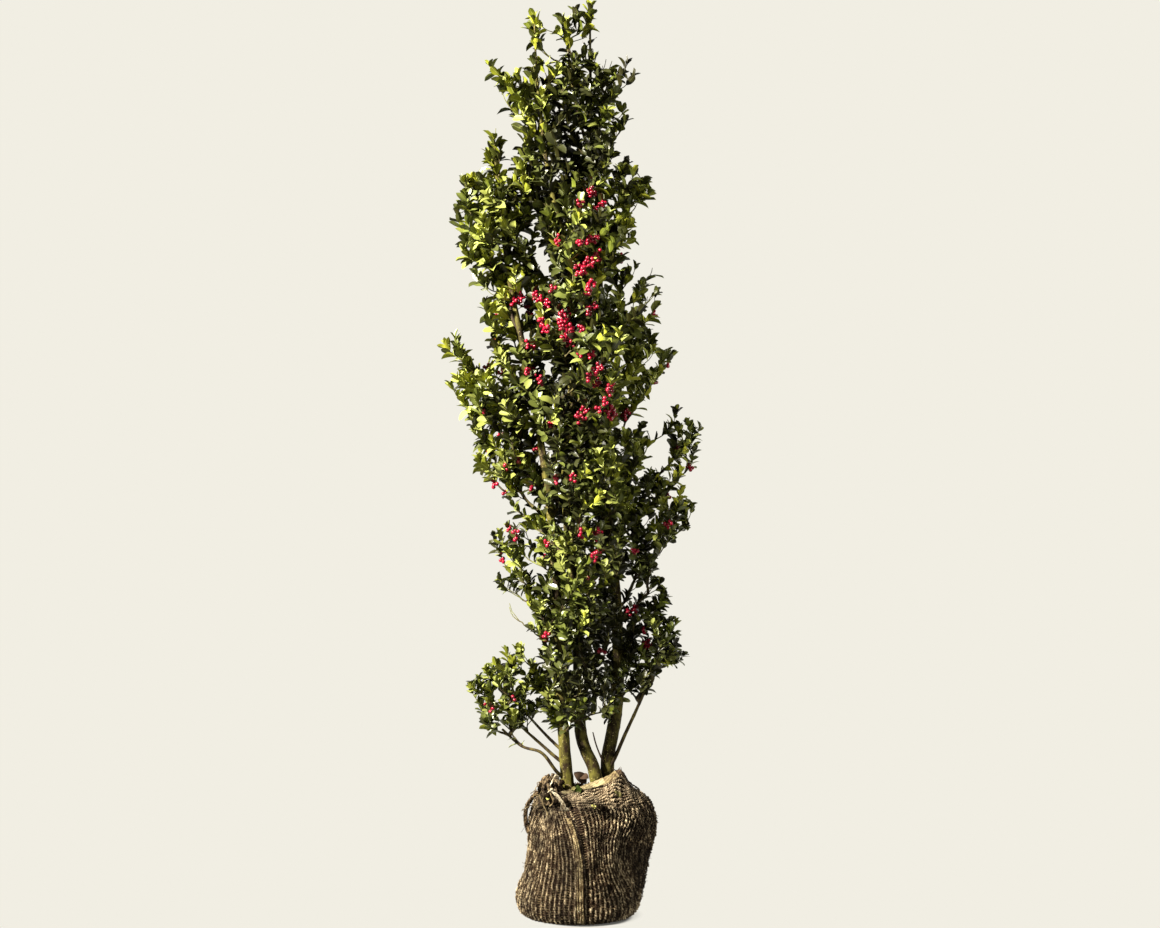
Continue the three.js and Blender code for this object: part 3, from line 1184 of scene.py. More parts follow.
    def ledge(self, angle: np.ndarray, z: np.ndarray) -> np.ndarray:
        """The ledge under the top's front, where the cloth sags over itself: a rise over a hollow.

        Args:
            angle: angles round the ball in radians.
            z: heights in metres.

        Returns:
            How far the cloth stands proud, in metres.
        """
        off = degrees_from(angle, self.ledge_middle)
        window = smooth(1.35 - np.abs(off) / 15)
        above = z - 0.271 + 0.0005 * off
        valley = smooth(1.4 - np.abs(off + 8) / 14) * bell((z - 0.215) / 0.035)
        return window * 0.0075 * (bell(above / 0.008) - bell((above + 0.019) / 0.011)) - 0.0045 * valley

    def pull(self, wale: np.ndarray, z: np.ndarray) -> np.ndarray:
        """Angle of a wale at a height: it is drawn towards the knot, and aside by the tuck at the right.

        The knot's pull grows with the square of the height. The tuck comes in low down, so that the ribs
        below it run steeply down to the right, and lets them part again above it.

        Args:
            wale: the wale's angle at the foot, in radians.
            z: heights in metres.

        Returns:
            Angles in radians.
        """
        at, by_knot, by_tuck = np.radians(np.array(self.drawn, float)).T
        knot = np.interp(wale, at, by_knot, period=FULL_TURN)
        tuck = np.interp(wale, at, by_tuck, period=FULL_TURN)
        low = smooth((z - 0.018) / 0.145) * (1 - 0.5 * smooth((z - 0.185) / 0.09))
        return wale - knot * np.clip(z / self.rim, 0, 1) ** 2 - tuck * low

    def opening_point(self, angle: np.ndarray) -> np.ndarray:
        """Edge of the opening for a wale that crosses the rim at an angle.

        Args:
            angle: angles at the rim in radians.

        Returns:
            Positions.
        """
        table = np.array(self.opening, float) * [1, MM, MM, MM]
        turn = [360, 0, 0, 0]
        fine = spline(np.vstack([table[-2:] - turn, table, table[:2] + turn]), 600)
        return between(np.degrees(angle) % 360, fine[:, 0], fine[:, 1:])

    def wale_paths(self, wale: np.ndarray, count: int) -> np.ndarray:
        """Paths of wales from under the ball to the opening, evenly spaced along each.

        The last stretch is a cubic Bezier that leaves the rim along the side's slope and comes to the
        opening along the straight way to it.

        Args:
            wale: angles at the foot in radians.
            count: points on each path.

        Returns:
            Positions of shape (wales, count, 3).
        """
        z = self.rim * np.linspace(0, 1, 90)[None] ** 1.25
        side = self.ball_point(self.pull(wale[:, None], z), z + 0 * wale[:, None])
        share = np.linspace(self.under_share, 1, 14, endpoint=False)[None, :, None]
        under = side[:, :1] * np.concatenate([share, share, share * 0 + 1], -1)
        start = side[:, -1]
        slope = unit(side[:, -1] - side[:, -4])
        end = self.opening_point(self.pull(wale, np.full_like(wale, self.rim)))
        gap = np.linalg.norm(end - start, axis=1, keepdims=True)
        arrive = unit(unit(end - start) + np.array([0, 0, 0.25]))
        way = np.linspace(0, 1, 40)[1:]
        corners = (start, start + slope * gap * 0.36, end - arrive * gap * 0.34, end)
        over = np.moveaxis(bezier(*corners, way[:, None, None]), 0, 1)
        fade = np.sin(np.pi * way)[None, :, None]
        crumple = ripple(over, 0.045, 3.0) * 0.0022 + ripple(over, 0.021, 6.0) * 0.0011
        over = over + fade * crumple[..., None] * np.array([0.3, -0.3, 1.0])
        return resample(np.concatenate([under, side, over], axis=1), count)

    def strands(self, wale: np.ndarray, count: int) -> Strands:
        """Wale paths with their directions: across is the way to the next wale, and outward their cross.

        Args:
            wale: angles at the foot in radians, evenly spaced round the ball.
            count: points on each path.

        Returns:
            The strands.
        """
        centre = self.wale_paths(wale, count)
        along = unit(np.gradient(centre, axis=1))
        step = (np.roll(centre, -1, 0) - np.roll(centre, 1, 0)) / 2
        step = step - along * np.sum(step * along, -1, keepdims=True)
        sideways = unit(step)
        return Strands(centre, np.cross(sideways, along), sideways, np.linalg.norm(step, axis=-1))


def crossing(
    line: np.ndarray,
    side: np.ndarray,
    out: np.ndarray,
    phase: np.ndarray,
    sway: np.ndarray | float,
    depth: np.ndarray | float,
    proud: np.ndarray | float,
) -> list[np.ndarray]:
    """Two yarns that cross to and fro on a line, half a turn apart.

    Each lies aside by the sway times the cosine of its phase, and outwards by the depth times its sine.

    Args:
        line: the line that they follow.
        side: sideways directions along it.
        out: outward directions along it.
        phase: the first yarn's phase in radians.
        sway: how far they sway in metres.
        depth: how far they go in and out.
        proud: how far outwards both lie.

    Returns:
        The centres of both.
    """
    return [
        line
        + side * (np.cos(phase + half) * sway)[..., None]
        + out * (np.sin(phase + half) * depth + proud)[..., None]
        for half in (0.0, np.pi)
    ]


@dataclass
class JuteKnit:
    """The cloth's yarns: ribs of two crossing yarns, with thin threads zigzagging between them."""

    wales: int = 74
    stitches: int = 74
    rings: int = 4
    half_width: float = 0.0024
    half_depth: float = 0.0019
    yarn_radius: float = 0.00125
    thread_radius: float = 0.00105
    proud: float = 0.0010
    sunk: float = 0.0034
    sink_from: float = 0.274
    courses: int = 10
    course_points: int = 420
    course_steps: int = 260
    course_yarn: float = 0.00175
    lit_wales: tuple[float, float] = (312, 352)
    lit_proud: float = 0.0011
    pieces: int = 3

    def lit(self) -> np.ndarray:
        """Which wales are the taut ones at the lower right, whose paler yarn is a painted light on ribs in
        the shade.

        Returns:
            True or False for each.
        """
        degrees = np.linspace(0, 360, self.wales, endpoint=False)
        return (degrees > self.lit_wales[0]) & (degrees < self.lit_wales[1])

    def rib_yarns(self, strands: Strands, rng: np.random.Generator) -> tuple[np.ndarray, np.ndarray]:
        """Centres and radii of the two yarns of each rib.

        The phase turns by half a circle in each stitch. A yarn's radius swells with the phase where it
        crosses in front, by an amount that changes from stitch to stitch.

        Args:
            strands: the ribs' centre lines, with rings points for each stitch.
            rng: source of random numbers.

        Returns:
            Centres of shape (2 x wales, points, 3) and radii.
        """
        wales, points = strands.centre.shape[:2]
        run = np.arange(points) / self.rings
        phase = np.pi * run[None] + rng.uniform(0, FULL_TURN, (wales, 1))
        narrow = np.clip(strands.pitch / 0.0128, 0.42, 1.05)
        slack = 1 + 0.22 * ripple(strands.centre, 0.03, 4.0)
        over = smooth((strands.centre[..., 2] - self.sink_from) / 0.010)
        proud = self.proud + self.lit_proud * self.lit()[:, None] - self.sunk * over
        lumps = rng.normal(0, 1, (wales, points // self.rings + 2))
        uneven = np.clip(1 + 0.36 * np.repeat(lumps, self.rings, axis=1)[:, :points], 0.5, 1.8)
        lines = (strands.centre, strands.sideways, strands.outward)
        sway = self.half_width * narrow * slack
        centres = crossing(*lines, phase, sway, self.half_depth * narrow, proud)
        bead = (1 - 0.50 * np.cos(2 * phase)) * uneven * (1 - 0.5 * over)
        radius = self.yarn_radius * np.clip(narrow, 0.6, 1) * bead
        return np.concatenate(centres), np.concatenate([radius, radius])

    def threads(self, strands: Strands) -> tuple[np.ndarray, np.ndarray]:
        """Centres and radii of the threads that run to and fro between neighbouring ribs.

        A thread crosses from one rib to the next at every stitch, and climbs to the next stitch along it,
        so that the crossings lie like the rungs of a ladder.

        Args:
            strands: the ribs' centre lines, with rings points for each stitch.

        Returns:
            Centres and radii of all threads.
        """
        here = strands.centre[:, :: self.rings]
        after = np.roll(here, -1, 0)
        outward = strands.outward[:, :: self.rings]
        stitches = here.shape[1]
        path = np.empty((len(here), 3 * stitches, 3))
        over = smooth((here[..., 2:] - self.sink_from) / 0.010)
        even = (np.arange(stitches) % 2 == 0)[None, :, None]
        for place, (share, proud) in enumerate(((0.08, 0.0006), (0.5, 0.0013), (0.92, 0.0006))):
            forth = here * (1 - share) + after * share
            back = here * share + after * (1 - share)
            path[:, place::3] = np.where(even, forth, back) + outward * (proud - self.sunk * over)
        radius = np.full(path.shape[:2], self.thread_radius)
        path[..., 2] = np.maximum(path[..., 2], radius)
        return path, radius

    def course_yarns(self, shape: BallShape, rng: np.random.Generator) -> tuple[np.ndarray, np.ndarray]:
        """Centres and radii of the courses: the wavy rows of stitches round the top, beside the hem.

        Course k runs round the top at an even share of the way from the opening to the rim, in waves of
        a few hundredths of that way. It is made of two crossing yarns, as the ribs are.

        Args:
            shape: the ball.
            rng: source of random numbers.

        Returns:
            Centres of shape (2 x courses, points, 3) and radii; each course closes on itself.
        """
        wale = circle(self.course_points)
        strands = shape.strands(wale, self.course_steps)
        last = self.course_steps - 1
        step = np.linalg.norm(strands.centre[:, -1] - strands.centre[:, -2], axis=1)
        rim = np.full_like(wale, shape.rim)
        rim_angle = shape.pull(wale, rim)
        way = shape.opening_point(rim_angle) - shape.ball_point(rim_angle, rim)
        gap = np.linalg.norm(way, axis=1) * 1.12
        rows = (np.arange(self.courses) + 0.7)[:, None] / self.courses
        wave = 0.030 * np.sin(9 * wale[None] + 7 * rows) + 0.022 * np.sin(23 * wale[None] - 5 * rows)
        place = last - np.clip((rows + wave) * gap[None] / step[None], 0, 200)
        low = np.floor(place).astype(int)
        share = (place - low)[..., None]
        column = np.arange(len(wale))[None]
        centre, outward = (
            values[column, low] * (1 - share) + values[column, np.minimum(low + 1, last)] * share
            for values in (strands.centre, strands.outward)
        )
        outward = unit(outward)
        along = unit(np.roll(centre, -1, 1) - np.roll(centre, 1, 1))
        wide = np.clip(gap[None] / self.courses / 0.0095, 0.35, 1.1)
        run = np.cumsum(np.linalg.norm(np.diff(centre, axis=1, append=centre[:, :1]), axis=-1), 1)
        turns = np.round(run[:, -1:] / 0.0105)
        phase = run / run[:, -1:] * FULL_TURN * turns + rng.uniform(0, FULL_TURN, (self.courses, 1))
        uneven = 1 + 0.30 * ripple(centre, 0.006, 2.0)
        side = np.cross(along, outward)
        centres = crossing(centre, side, outward, phase, 0.0021 * wide, 0.0013 * wide, 0.0008)
        radius = self.course_yarn * wide * (1 - 0.35 * np.cos(2 * phase)) * uneven
        path, radius = np.concatenate(centres), np.concatenate([radius, radius])
        return np.concatenate([path, path[:, :1]], 1), np.concatenate([radius, radius[:, :1]], 1)

    def build(self, shape: BallShape, rng: np.random.Generator) -> None:
        """Builds the yarns in a few pieces.

        Args:
            shape: the ball.
            rng: source of random numbers.
        """
        strands = shape.strands(circle(self.wales), self.stitches * self.rings + 1)
        path, radius = self.rib_yarns(strands, rng)
        path[..., 2] = np.maximum(path[..., 2], self.yarn_radius * 1.05)
        light = YarnFinish("jute yarn", (0.58, 0.465, 0.29), (0.048, 0.029, 0.015), 0.70).make()
        taut = np.tile(self.lit(), 2)
        for part, mine in enumerate(np.array_split(np.flatnonzero(~taut), self.pieces), 1):
            piece = tubes(path[mine], radius[mine], 4).place(f"jute_ribs_{part}", light)
        # Painted light: the taut ribs at the lower right get a paler yarn, as if lit, though they lie in the
        # shade.
        pale = YarnFinish("taut painted lit yarn", (0.80, 0.65, 0.41), (0.060, 0.038, 0.020), 0.68).make()
        piece = tubes(path[taut], radius[taut] * 0.9, 4).place("jute_ribs_taut", pale)
        thin = YarnFinish("jute thread", (0.235, 0.165, 0.085), (0.026, 0.014, 0.007), 0.68).make()
        piece = tubes(*self.threads(strands), 3).place("jute_threads", thin)
        top = YarnFinish("top yarn", (0.46, 0.365, 0.235), (0.105, 0.072, 0.042), 0.66).make()
        piece = tubes(*self.course_yarns(shape, rng), 4).place("jute_courses", top)


@dataclass
class Soil:
    """The soil behind the knit, as a closed body a little inside it."""

    inset: float = 0.0028
    columns: int = 160
    rows: int = 120
    crest: float = 0.318

    def build(self, shape: BallShape) -> None:
        """Builds the soil body; it stands for the root ball.

        Args:
            shape: the ball.
        """
        strands = shape.strands(circle(self.columns), self.rows)
        skin = strands.centre - strands.outward * self.inset
        skin[..., 2] = np.maximum(skin[..., 2], 0.0006)
        grid = np.moveaxis(skin, 1, 0)
        middle = grid[-1].mean(0)
        rings = [grid[0] * np.array([share, share, 1.0]) for share in (0.02, 0.5)] + list(grid)
        for share, drop in ((0.93, 0.010), (0.80, 0.017), (0.55, 0.015), (0.28, 0.012), (0.02, 0.010)):
            ring = middle + (grid[-1] - middle) * share
            level = (1 - share) ** 0.5
            ring[:, 2] = grid[-1][:, 2] * (1 - level) + self.crest * level - drop
            ring[:, 2] += 0.003 * ripple(ring, 0.03, 7.0) + 0.002 * ripple(ring, 0.012, 9.0)
            rings.append(ring)
        light, dark = (0.026, 0.014, 0.007), (0.007, 0.004, 0.002)
        earth = MottledFinish("soil", light, dark, (60, 420), 0.66, roughness=0.95, relief=0.002).make()
        piece = Surface.grid(np.stack(rings), True).place("soil_body", earth)
        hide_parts("root_ball")


@dataclass
class Hem:
    """The folded edge of the cloth round the stems: a flattened roll that is widest at the front."""

    columns: int = 260
    corners: int = 12
    middle: float = 297.0
    width_front: float = 0.021
    width_back: float = 0.0055
    thick: float = 0.0040
    run: float = 0.55

    def build(self, shape: BallShape) -> None:
        """Builds the hem; it stands for the collar.

        The section is an ellipse whose long axis runs down the cloth from the opening's edge.

        Args:
            shape: the ball.
        """
        angle = circle(self.columns)
        edge = shape.opening_point(angle)
        along = unit(np.roll(edge, -1, 0) - np.roll(edge, 1, 0))
        down = unit(shape.ball_point(angle, np.full_like(angle, shape.rim)) - edge)
        down = unit(down - along * np.sum(down * along, 1, keepdims=True))
        outward = np.cross(along, down)
        outward *= np.sign(outward[:, 2:])
        off = degrees_from(angle, self.middle)
        front = bell(off / np.where(off < 0, 42, 11))
        width = self.width_back + (self.width_front - self.width_back) * front
        turn = circle(self.corners)
        long_way = (0.5 - 0.5 * np.cos(turn))[None, :, None] * width[:, None, None]
        thick = self.thick * (1 + 0.5 * np.cos(turn))[None, :] / 2 * np.sin(turn)[None, :]
        thick = thick * (0.55 + 0.45 * front)[:, None] + 0.0022
        points = edge[:, None] + down[:, None] * (long_way - 0.003) + outward[:, None] * thick[..., None]
        wobble = ripple(points, 0.02, 2.0) * 0.0016 + ripple(points, 0.008, 5.0) * 0.0008
        points = points + outward[:, None] * wobble[..., None]
        rows = self.columns + 1
        # A row after the last one would be the first again, so the last quads' corners start over.
        quads = grid_quads(rows, self.corners, True) % (self.columns * self.corners)
        uv = grid_uv(rows, self.corners, True, np.linspace(0, self.run, rows))
        # One jute in three copies: the front at its own colour, a painted half shade towards the peak, and
        # painted shade from the peak round the back.
        light = YarnFinish("jute hem", (0.37, 0.31, 0.165), (0.17, 0.125, 0.065), 0.62, 754, 9.0, 0.0007)
        tan = YarnFinish("half shaded hem", (0.25, 0.195, 0.095), (0.095, 0.064, 0.032), 0.64, 754, 9.0, 0.0010)
        dark = YarnFinish("rough shaded hem", (0.13, 0.085, 0.050), (0.030, 0.018, 0.011), 0.66, 754, 9.0, 0.0013)
        for name, finish, start, end in (
            ("jute_hem", light, 252, 286),
            ("jute_hem_middle", tan, 286, 298),
            ("jute_hem_back", dark, 298, 252 + 360),
        ):
            mine = np.repeat((np.degrees(angle) - start) % 360 < end - start, self.corners)
            piece = Surface(points.reshape(-1, 3), quads[mine], uv[mine]).place(name, finish.make())
            if finish is light:
                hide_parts("cloth_collar")


def crumpled_band(path: np.ndarray, width: np.ndarray, lean: np.ndarray, thick: float) -> Surface:
    """A crumpled band along a path: a flat closed section, turned by an angle along the way.

    Args:
        path: centres of shape (points, 3).
        width: half widths at the points.
        lean: turn of the section at the points, in radians.
        thick: half thickness.

    Returns:
        The band.
    """
    tangent, across, other = (a[0] for a in frames(path[None]))
    wide = across * np.cos(lean)[:, None] + other * np.sin(lean)[:, None]
    flat = np.cross(tangent, wide)
    turn = circle(14)[None]
    x = np.cos(turn) * width[:, None]
    y = np.sin(turn) * thick + 0.35 * np.cos(turn) ** 2 * width[:, None]
    points = path[:, None] + wide[:, None] * x[..., None] + flat[:, None] * y[..., None]
    crumple = ripple(points, 0.016, 3.3) * 0.0018 + ripple(points, 0.007, 1.1) * 0.0008
    points = points + flat[:, None] * crumple[..., None]
    grid = np.concatenate([points[:1] * 0 + path[0], points, points[:1] * 0 + path[-1]])
    length = arc_lengths(path)
    return Surface.grid(grid, True, np.concatenate([[0], length, length[-1:]]))


def lumps(middles: np.ndarray, sizes: np.ndarray) -> Surface:
    """Small closed lumps: balls of five rings with eight corners, each with its own dents.

    Args:
        middles: where they lie.
        sizes: their radii.

    Returns:
        All lumps as one surface.
    """
    rings, corners = 5, 8
    ball = globe(np.linspace(-1.35, 1.35, rings), corners).reshape(-1, 3)
    points = middles[:, None] + ball[None] * sizes[:, None, None]
    dent = 1 + 0.28 * ripple(points, 0.0045, 2.0)
    points = middles[:, None] + (points - middles[:, None]) * dent[..., None]
    return Surface.copies(points, grid_quads(rings + 2, corners, True), grid_uv(rings + 2, corners, True))


@dataclass
class Bunch:
    """The gathered bunch at the left: a folded core, crumpled lobes, a strap and loops of yarn.

    A band is its route in millimetres and its half width; a hollow, whose shadow a near-black lump paints,
    is its place and its radius in tenths of a millimetre.
    """

    foot: Triple = (-0.072, -0.070, 0.276)
    head: Triple = (-0.076, -0.061, 0.342)
    lobes: int = 13
    loops: int = 20
    bands: tuple[tuple[tuple[Triple, ...], float], ...] = (
        (((-72, -97, 307), (-65, -107, 306), (-57, -114, 298), (-49, -119, 290), (-42, -122, 281)), 0.0056),
        (((-74, -94, 322), (-68, -101, 337), (-61, -102, 348), (-56, -99, 341), (-59, -101, 330)), 0.0034),
        (((-82, -98, 305), (-76, -104, 312), (-70, -106, 316), (-62, -104, 313)), 0.0030),
    )
    hollows: tuple[tuple[float, float, float, float], ...] = (
        (-38, -116, 290, 68), (-34, -120, 281, 60), (-1, -90, 304, 56), (-47, -78, 328, 62),
        (-66, -108, 284, 60), (-60, -112, 288, 54), (-81, -101, 301, 58), (-78, -92, 332, 44),
        (38, -139, 279, 58), (46, -138, 277.5, 68), (54, -134, 276.5, 52),
    )
    ends: tuple[tuple[Triple, ...], ...] = (
        ((-94, -88, 292), (-91, -95, 277), (-83, -104, 262), (-78, -108, 250)),
        ((-80, -98, 316), (-72, -106, 300), (-68, -112, 286), (-76, -108, 276)),
        ((26, -141, 282), (31, -143, 279), (36, -143, 277), (42, -142, 273)),
    )

    def core(self) -> Surface:
        """The folded core: a stack of rings whose radius waves round it, so that deep folds run up it.

        The radius swells at the foot and near the head, and is drawn in between by the tie.

        Returns:
            The core's surface.
        """
        u = np.linspace(0, 1, 46)[:, None]
        turn = circle(96)[None]
        swell = 0.024 - 0.007 * bell((u - 0.45) / 0.13) + 0.008 * bell(u / 0.2)
        swell = swell * np.sqrt(np.clip(1.02 - (np.maximum(u - 0.62, 0) / 0.38) ** 2, 0.0004, 1))
        folds = 0.20 * np.sin(8 * turn + 2.2 * np.sin(u * 6) + 1)
        folds = folds + 0.13 * np.sin(13 * turn - 5 * u) + 0.10 * np.sin(5 * turn + 9 * u)
        radius = swell * (1 + folds)
        line = np.array(self.foot) * (1 - u) + np.array(self.head) * u
        ring = level_way(turn + 0 * u) * np.array([1.0, 0.9, 1.0])
        points = line[:, None] + radius[..., None] * ring
        points[..., 2] += 0.004 * np.sin(3 * turn + 2) * u + 0.003 * ripple(points, 0.02, 4.0)
        return Surface.grid(points, True, u[:, 0] * 0.1)

    def build(self, rng: np.random.Generator) -> None:
        """Builds the core with its lobes, which stand for the knot, then bands, the painted shadow in the
        hollows, and loops.

        Args:
            rng: source of random numbers.
        """
        base = (np.array(self.foot) + np.array(self.head)) / 2
        parts = [self.core()]
        steps = 26
        for index in range(self.lobes):
            turn = index * GOLDEN_TURN + rng.uniform(-0.3, 0.3)
            out = np.array([np.cos(turn), np.sin(turn), 0])
            reach = rng.uniform(0.006, 0.017)
            high = rng.uniform(-0.012, 0.028)
            foot = base + out * 0.010 + np.array([0, 0, -0.014])
            peak = base + out * (reach + 0.006) + np.array([-0.003, 0.002, high])
            fall = base + out * (reach + 0.012) + np.array([0, 0, high * 0.3 - 0.012])
            back = base + out * 0.018 + np.array([0, 0, -0.026])
            path = spline(np.stack([foot, (foot + peak) / 2 + out * 0.002, peak, fall, back]), steps)
            path += ripple(path, 0.02, index + 0.5)[:, None] * 0.002
            width = 0.0085 * (0.45 + 0.55 * np.sin(np.linspace(0.2, 2.9, steps))) * rng.uniform(0.7, 1.2)
            lean = np.linspace(0, rng.uniform(-0.9, 0.9), steps) + np.pi * 0.5 * (abs(out[0]) > 0.7)
            parts.append(crumpled_band(path, width, lean, 0.0022))
        light, dark = (0.29, 0.21, 0.115), (0.022, 0.013, 0.007)
        cloth = YarnFinish("bunched jute", light, dark, 0.69, 817, 10.0, 0.0014).make()
        piece = Surface.join(parts).place("jute_bunch", cloth)
        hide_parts("cloth_knot_left")
        self.pale_bands()
        self.holes()
        self.yarn_loops(base, rng)

    def pale_bands(self) -> None:
        """Builds the short pale strap with its fringe, and the pale folds above it."""
        parts = []
        steps = 30
        for route, half_width in self.bands:
            path = spline(np.array(route) * MM, steps)
            width = half_width * (1 - 0.35 * np.linspace(-1, 1, steps) ** 2)
            parts.append(crumpled_band(path, width, np.linspace(0.2, 1.0, steps), 0.0014))
        pale = YarnFinish("jute strap", (0.60, 0.53, 0.38), (0.16, 0.12, 0.07), 0.60, 942, 6.0, 0.0012).make()
        count, steps = 13, 7
        spread = np.linspace(-1, 1, count)[:, None] * np.array([0.005, 0.001, -0.002])
        start = np.array([-43, -122, 283]) * MM + spread
        fan = np.stack([np.linspace(-0.35, 1.1, count), np.full(count, -0.35), np.full(count, -1.0)], -1)
        fringe = hairs(start, unit(fan) * 0.0125, np.tile(-UP * 0.004, (count, 1)), 1.0, steps)
        parts.append(tubes(fringe, np.full((count, steps), 0.0009) * np.linspace(1, 0.4, steps), 5))
        piece = Surface.join(parts).place("jute_straps", pale)

    def holes(self) -> None:
        """Builds painted shadow in the hollows between the folds and in the pit under the ledge: near-black
        lumps.
        """
        table = np.array(self.hollows)
        light, dark = (0.012, 0.008, 0.005), (0.004, 0.003, 0.002)
        black = MottledFinish("hollow", light, dark, (90, 400), roughness=1.0, specular=0.0).make()
        piece = lumps(table[:, :3] * MM, table[:, 3] * 1e-4).place("painted_shadow_hollows", black)

    def yarn_loops(self, base: np.ndarray, rng: np.random.Generator) -> None:
        """Builds loose loops and ends of yarn round the bunch.

        Args:
            base: middle of the bunch.
            rng: source of random numbers.
        """
        paths, radii = [], []
        steps = 16
        for _ in range(self.loops):
            turn = rng.uniform(2.6, 6.0)
            out = np.array([np.cos(turn), np.sin(turn) * 0.8, 0])
            foot = base + out * rng.uniform(0.012, 0.028) + np.array([0, 0, rng.uniform(-0.026, 0.026)])
            sweep = rng.normal(0, 1, (4, 3)) * 0.007 + out * 0.005
            sweep[:, 2] -= np.linspace(0, 0.016, 4)
            paths.append(spline(np.vstack([foot, foot + np.cumsum(sweep, 0)]), steps))
            radii.append(np.full(steps, rng.uniform(0.0007, 0.0013)))
        for route in self.ends:
            paths.append(spline(np.array(route) * MM, steps))
            radii.append(np.full(steps, 0.0015))
        finish = YarnFinish("loose jute", (0.36, 0.28, 0.14), (0.08, 0.05, 0.024), 0.64).make()
        piece = tubes(np.stack(paths), np.stack(radii), 5).place("loose_loops", finish)


@dataclass
class Flap:
    """The frayed strip that hangs off the cloth's left edge: a crumpled band, five yarns and many ends."""

    route: tuple[Triple, ...] = (
        (-102, -30, 300), (-115, -29, 288), (-128, -28, 270), (-135, -28, 249), (-134, -28, 228),
        (-131, -28, 212), (-127, -30, 200),
    )
    steps: int = 70
    yarns: int = 5
    ends: int = 34

    def build(self, rng: np.random.Generator) -> None:
        """Builds the strip; it stands for the flap.

        Yarn k circles the route within the band, with its own phase, and its reach and radius waver.

        Args:
            rng: source of random numbers.
        """
        route = spline(np.array(self.route) * MM, self.steps)
        tangent, across, other = (a[0] for a in frames(route[None]))
        paths, radii = [], []
        for index in range(self.yarns):
            phase = FULL_TURN * (index / self.yarns + arc_lengths(route) / 0.021)
            phase = phase + 1.2 * ripple(route, 0.012, index)
            reach = 0.0025 + 0.0011 * ripple(route, 0.007, index + 4.0)
            aside = across * (np.cos(phase) * reach)[:, None]
            paths.append(route + aside + other * (np.sin(phase) * reach * 1.5)[:, None])
            radii.append(0.0013 * (1 + 0.45 * ripple(route, 0.005, index + 9.0)))
        light, dark = (0.20, 0.135, 0.070), (0.022, 0.013, 0.007)
        finish = YarnFinish("flap yarn", light, dark, 0.69, patch_depth=0.3).make()
        width, lean = np.full(self.steps, 0.0052), np.linspace(0.3, 2.2, self.steps)
        band = crumpled_band(route, width, lean, 0.0015)
        spot = rng.integers(2, self.steps - 1, self.ends)
        away = unit(rng.normal(0, 1, (self.ends, 3)) + tangent[spot] * 0.8)
        bend = rng.normal(0, 0.5, (self.ends, 3)) - UP * 0.4
        reach = rng.uniform(0.006, 0.016, (self.ends, 1, 1))
        hair = hairs(route[spot], away, bend, reach, 7)
        yarns = tubes(np.stack(paths), np.stack(radii), 6)
        whole = Surface.join([band, yarns, tubes(hair, np.full(hair.shape[:2], 0.0004), 3)])
        piece = whole.place("jute_flap", finish)
        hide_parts("cloth_flap_left")


@dataclass
class LapBead:
    """The edge where the cloth laps over itself: three close ribs down the front, and a painted shadow in the
    fold beside.
    """

    ribs: tuple[float, ...] = (-0.016, -0.052, -0.090)
    radius: float = 0.00125
    points: int = 260
    stitches: int = 24
    shadow: float = 0.014
    top: float = 0.252

    def line(self, shape: BallShape, aside: float) -> tuple[np.ndarray, np.ndarray]:
        """A line down the ball beside the lap's edge, and the outward directions along it.

        Args:
            shape: the ball.
            aside: how far it lies beside the edge, as an angle in radians.

        Returns:
            Positions and directions.
        """
        z = np.linspace(self.top, 0.006, self.points)
        spread = np.interp(z, (0.0, 0.16, 0.28), (1.0, 1.0, 0.55))
        path = shape.ball_point(shape.lap_edge(z) + aside * spread, z)
        return path, unit(path * np.array([1.0, 1.0, 0.0]))

    def build(self, shape: BallShape, rng: np.random.Generator) -> None:
        """Builds the ribs and the painted shadow in the fold; the ribs stand for the lap's edge.

        Args:
            shape: the ball.
            rng: source of random numbers.
        """
        paths, radii = [], []
        for aside in self.ribs:
            path, out = self.line(shape, aside)
            phase = np.linspace(0, FULL_TURN * self.stitches, self.points) + rng.uniform(0, FULL_TURN)
            paths += crossing(path, np.cross(out, UP), out, phase, 0.0013, 0.0010, 0.0020)
            uneven = 1 + 0.3 * ripple(path, 0.006, 3.0)
            radii += [self.radius * (1 - 0.40 * np.cos(2 * phase)) * uneven] * 2
        finish = YarnFinish("selvedge yarn", (0.45, 0.355, 0.185), (0.075, 0.048, 0.022), 0.68).make()
        piece = tubes(np.stack(paths), np.stack(radii), 4).place("jute_selvedge", finish)
        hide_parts("cloth_lap_edge")
        # Painted shadow: a thin near-black tube lies in the fold beside the lap's edge.
        path, out = self.line(shape, self.shadow)
        light, dark = (0.016, 0.010, 0.006), (0.006, 0.004, 0.002)
        fold = MottledFinish("lap fold", light, dark, (60, 400), roughness=0.95).make()
        width = np.interp(path[:, 2], (0.0, 0.10, 0.20, 0.28), (0.0006, 0.0009, 0.0012, 0.0011))
        width = width * (1 + 0.3 * ripple(path, 0.03, 1.0))
        piece = tubes((path + out * 0.0032)[None], width[None], 6).place("lap_fold", fold)


@dataclass(frozen=True)
class FallenLeaf:
    """A leaf on the ball: name, stalk's end in millimetres, ways of its tip and upper side, and size.

    The size is length and half width in metres, and the curl is how far it curls over, in turns.
    """

    name: str
    foot: Triple
    way: Triple
    up: Triple
    size: tuple[float, float]
    curl: float
    finish: LeafFinish


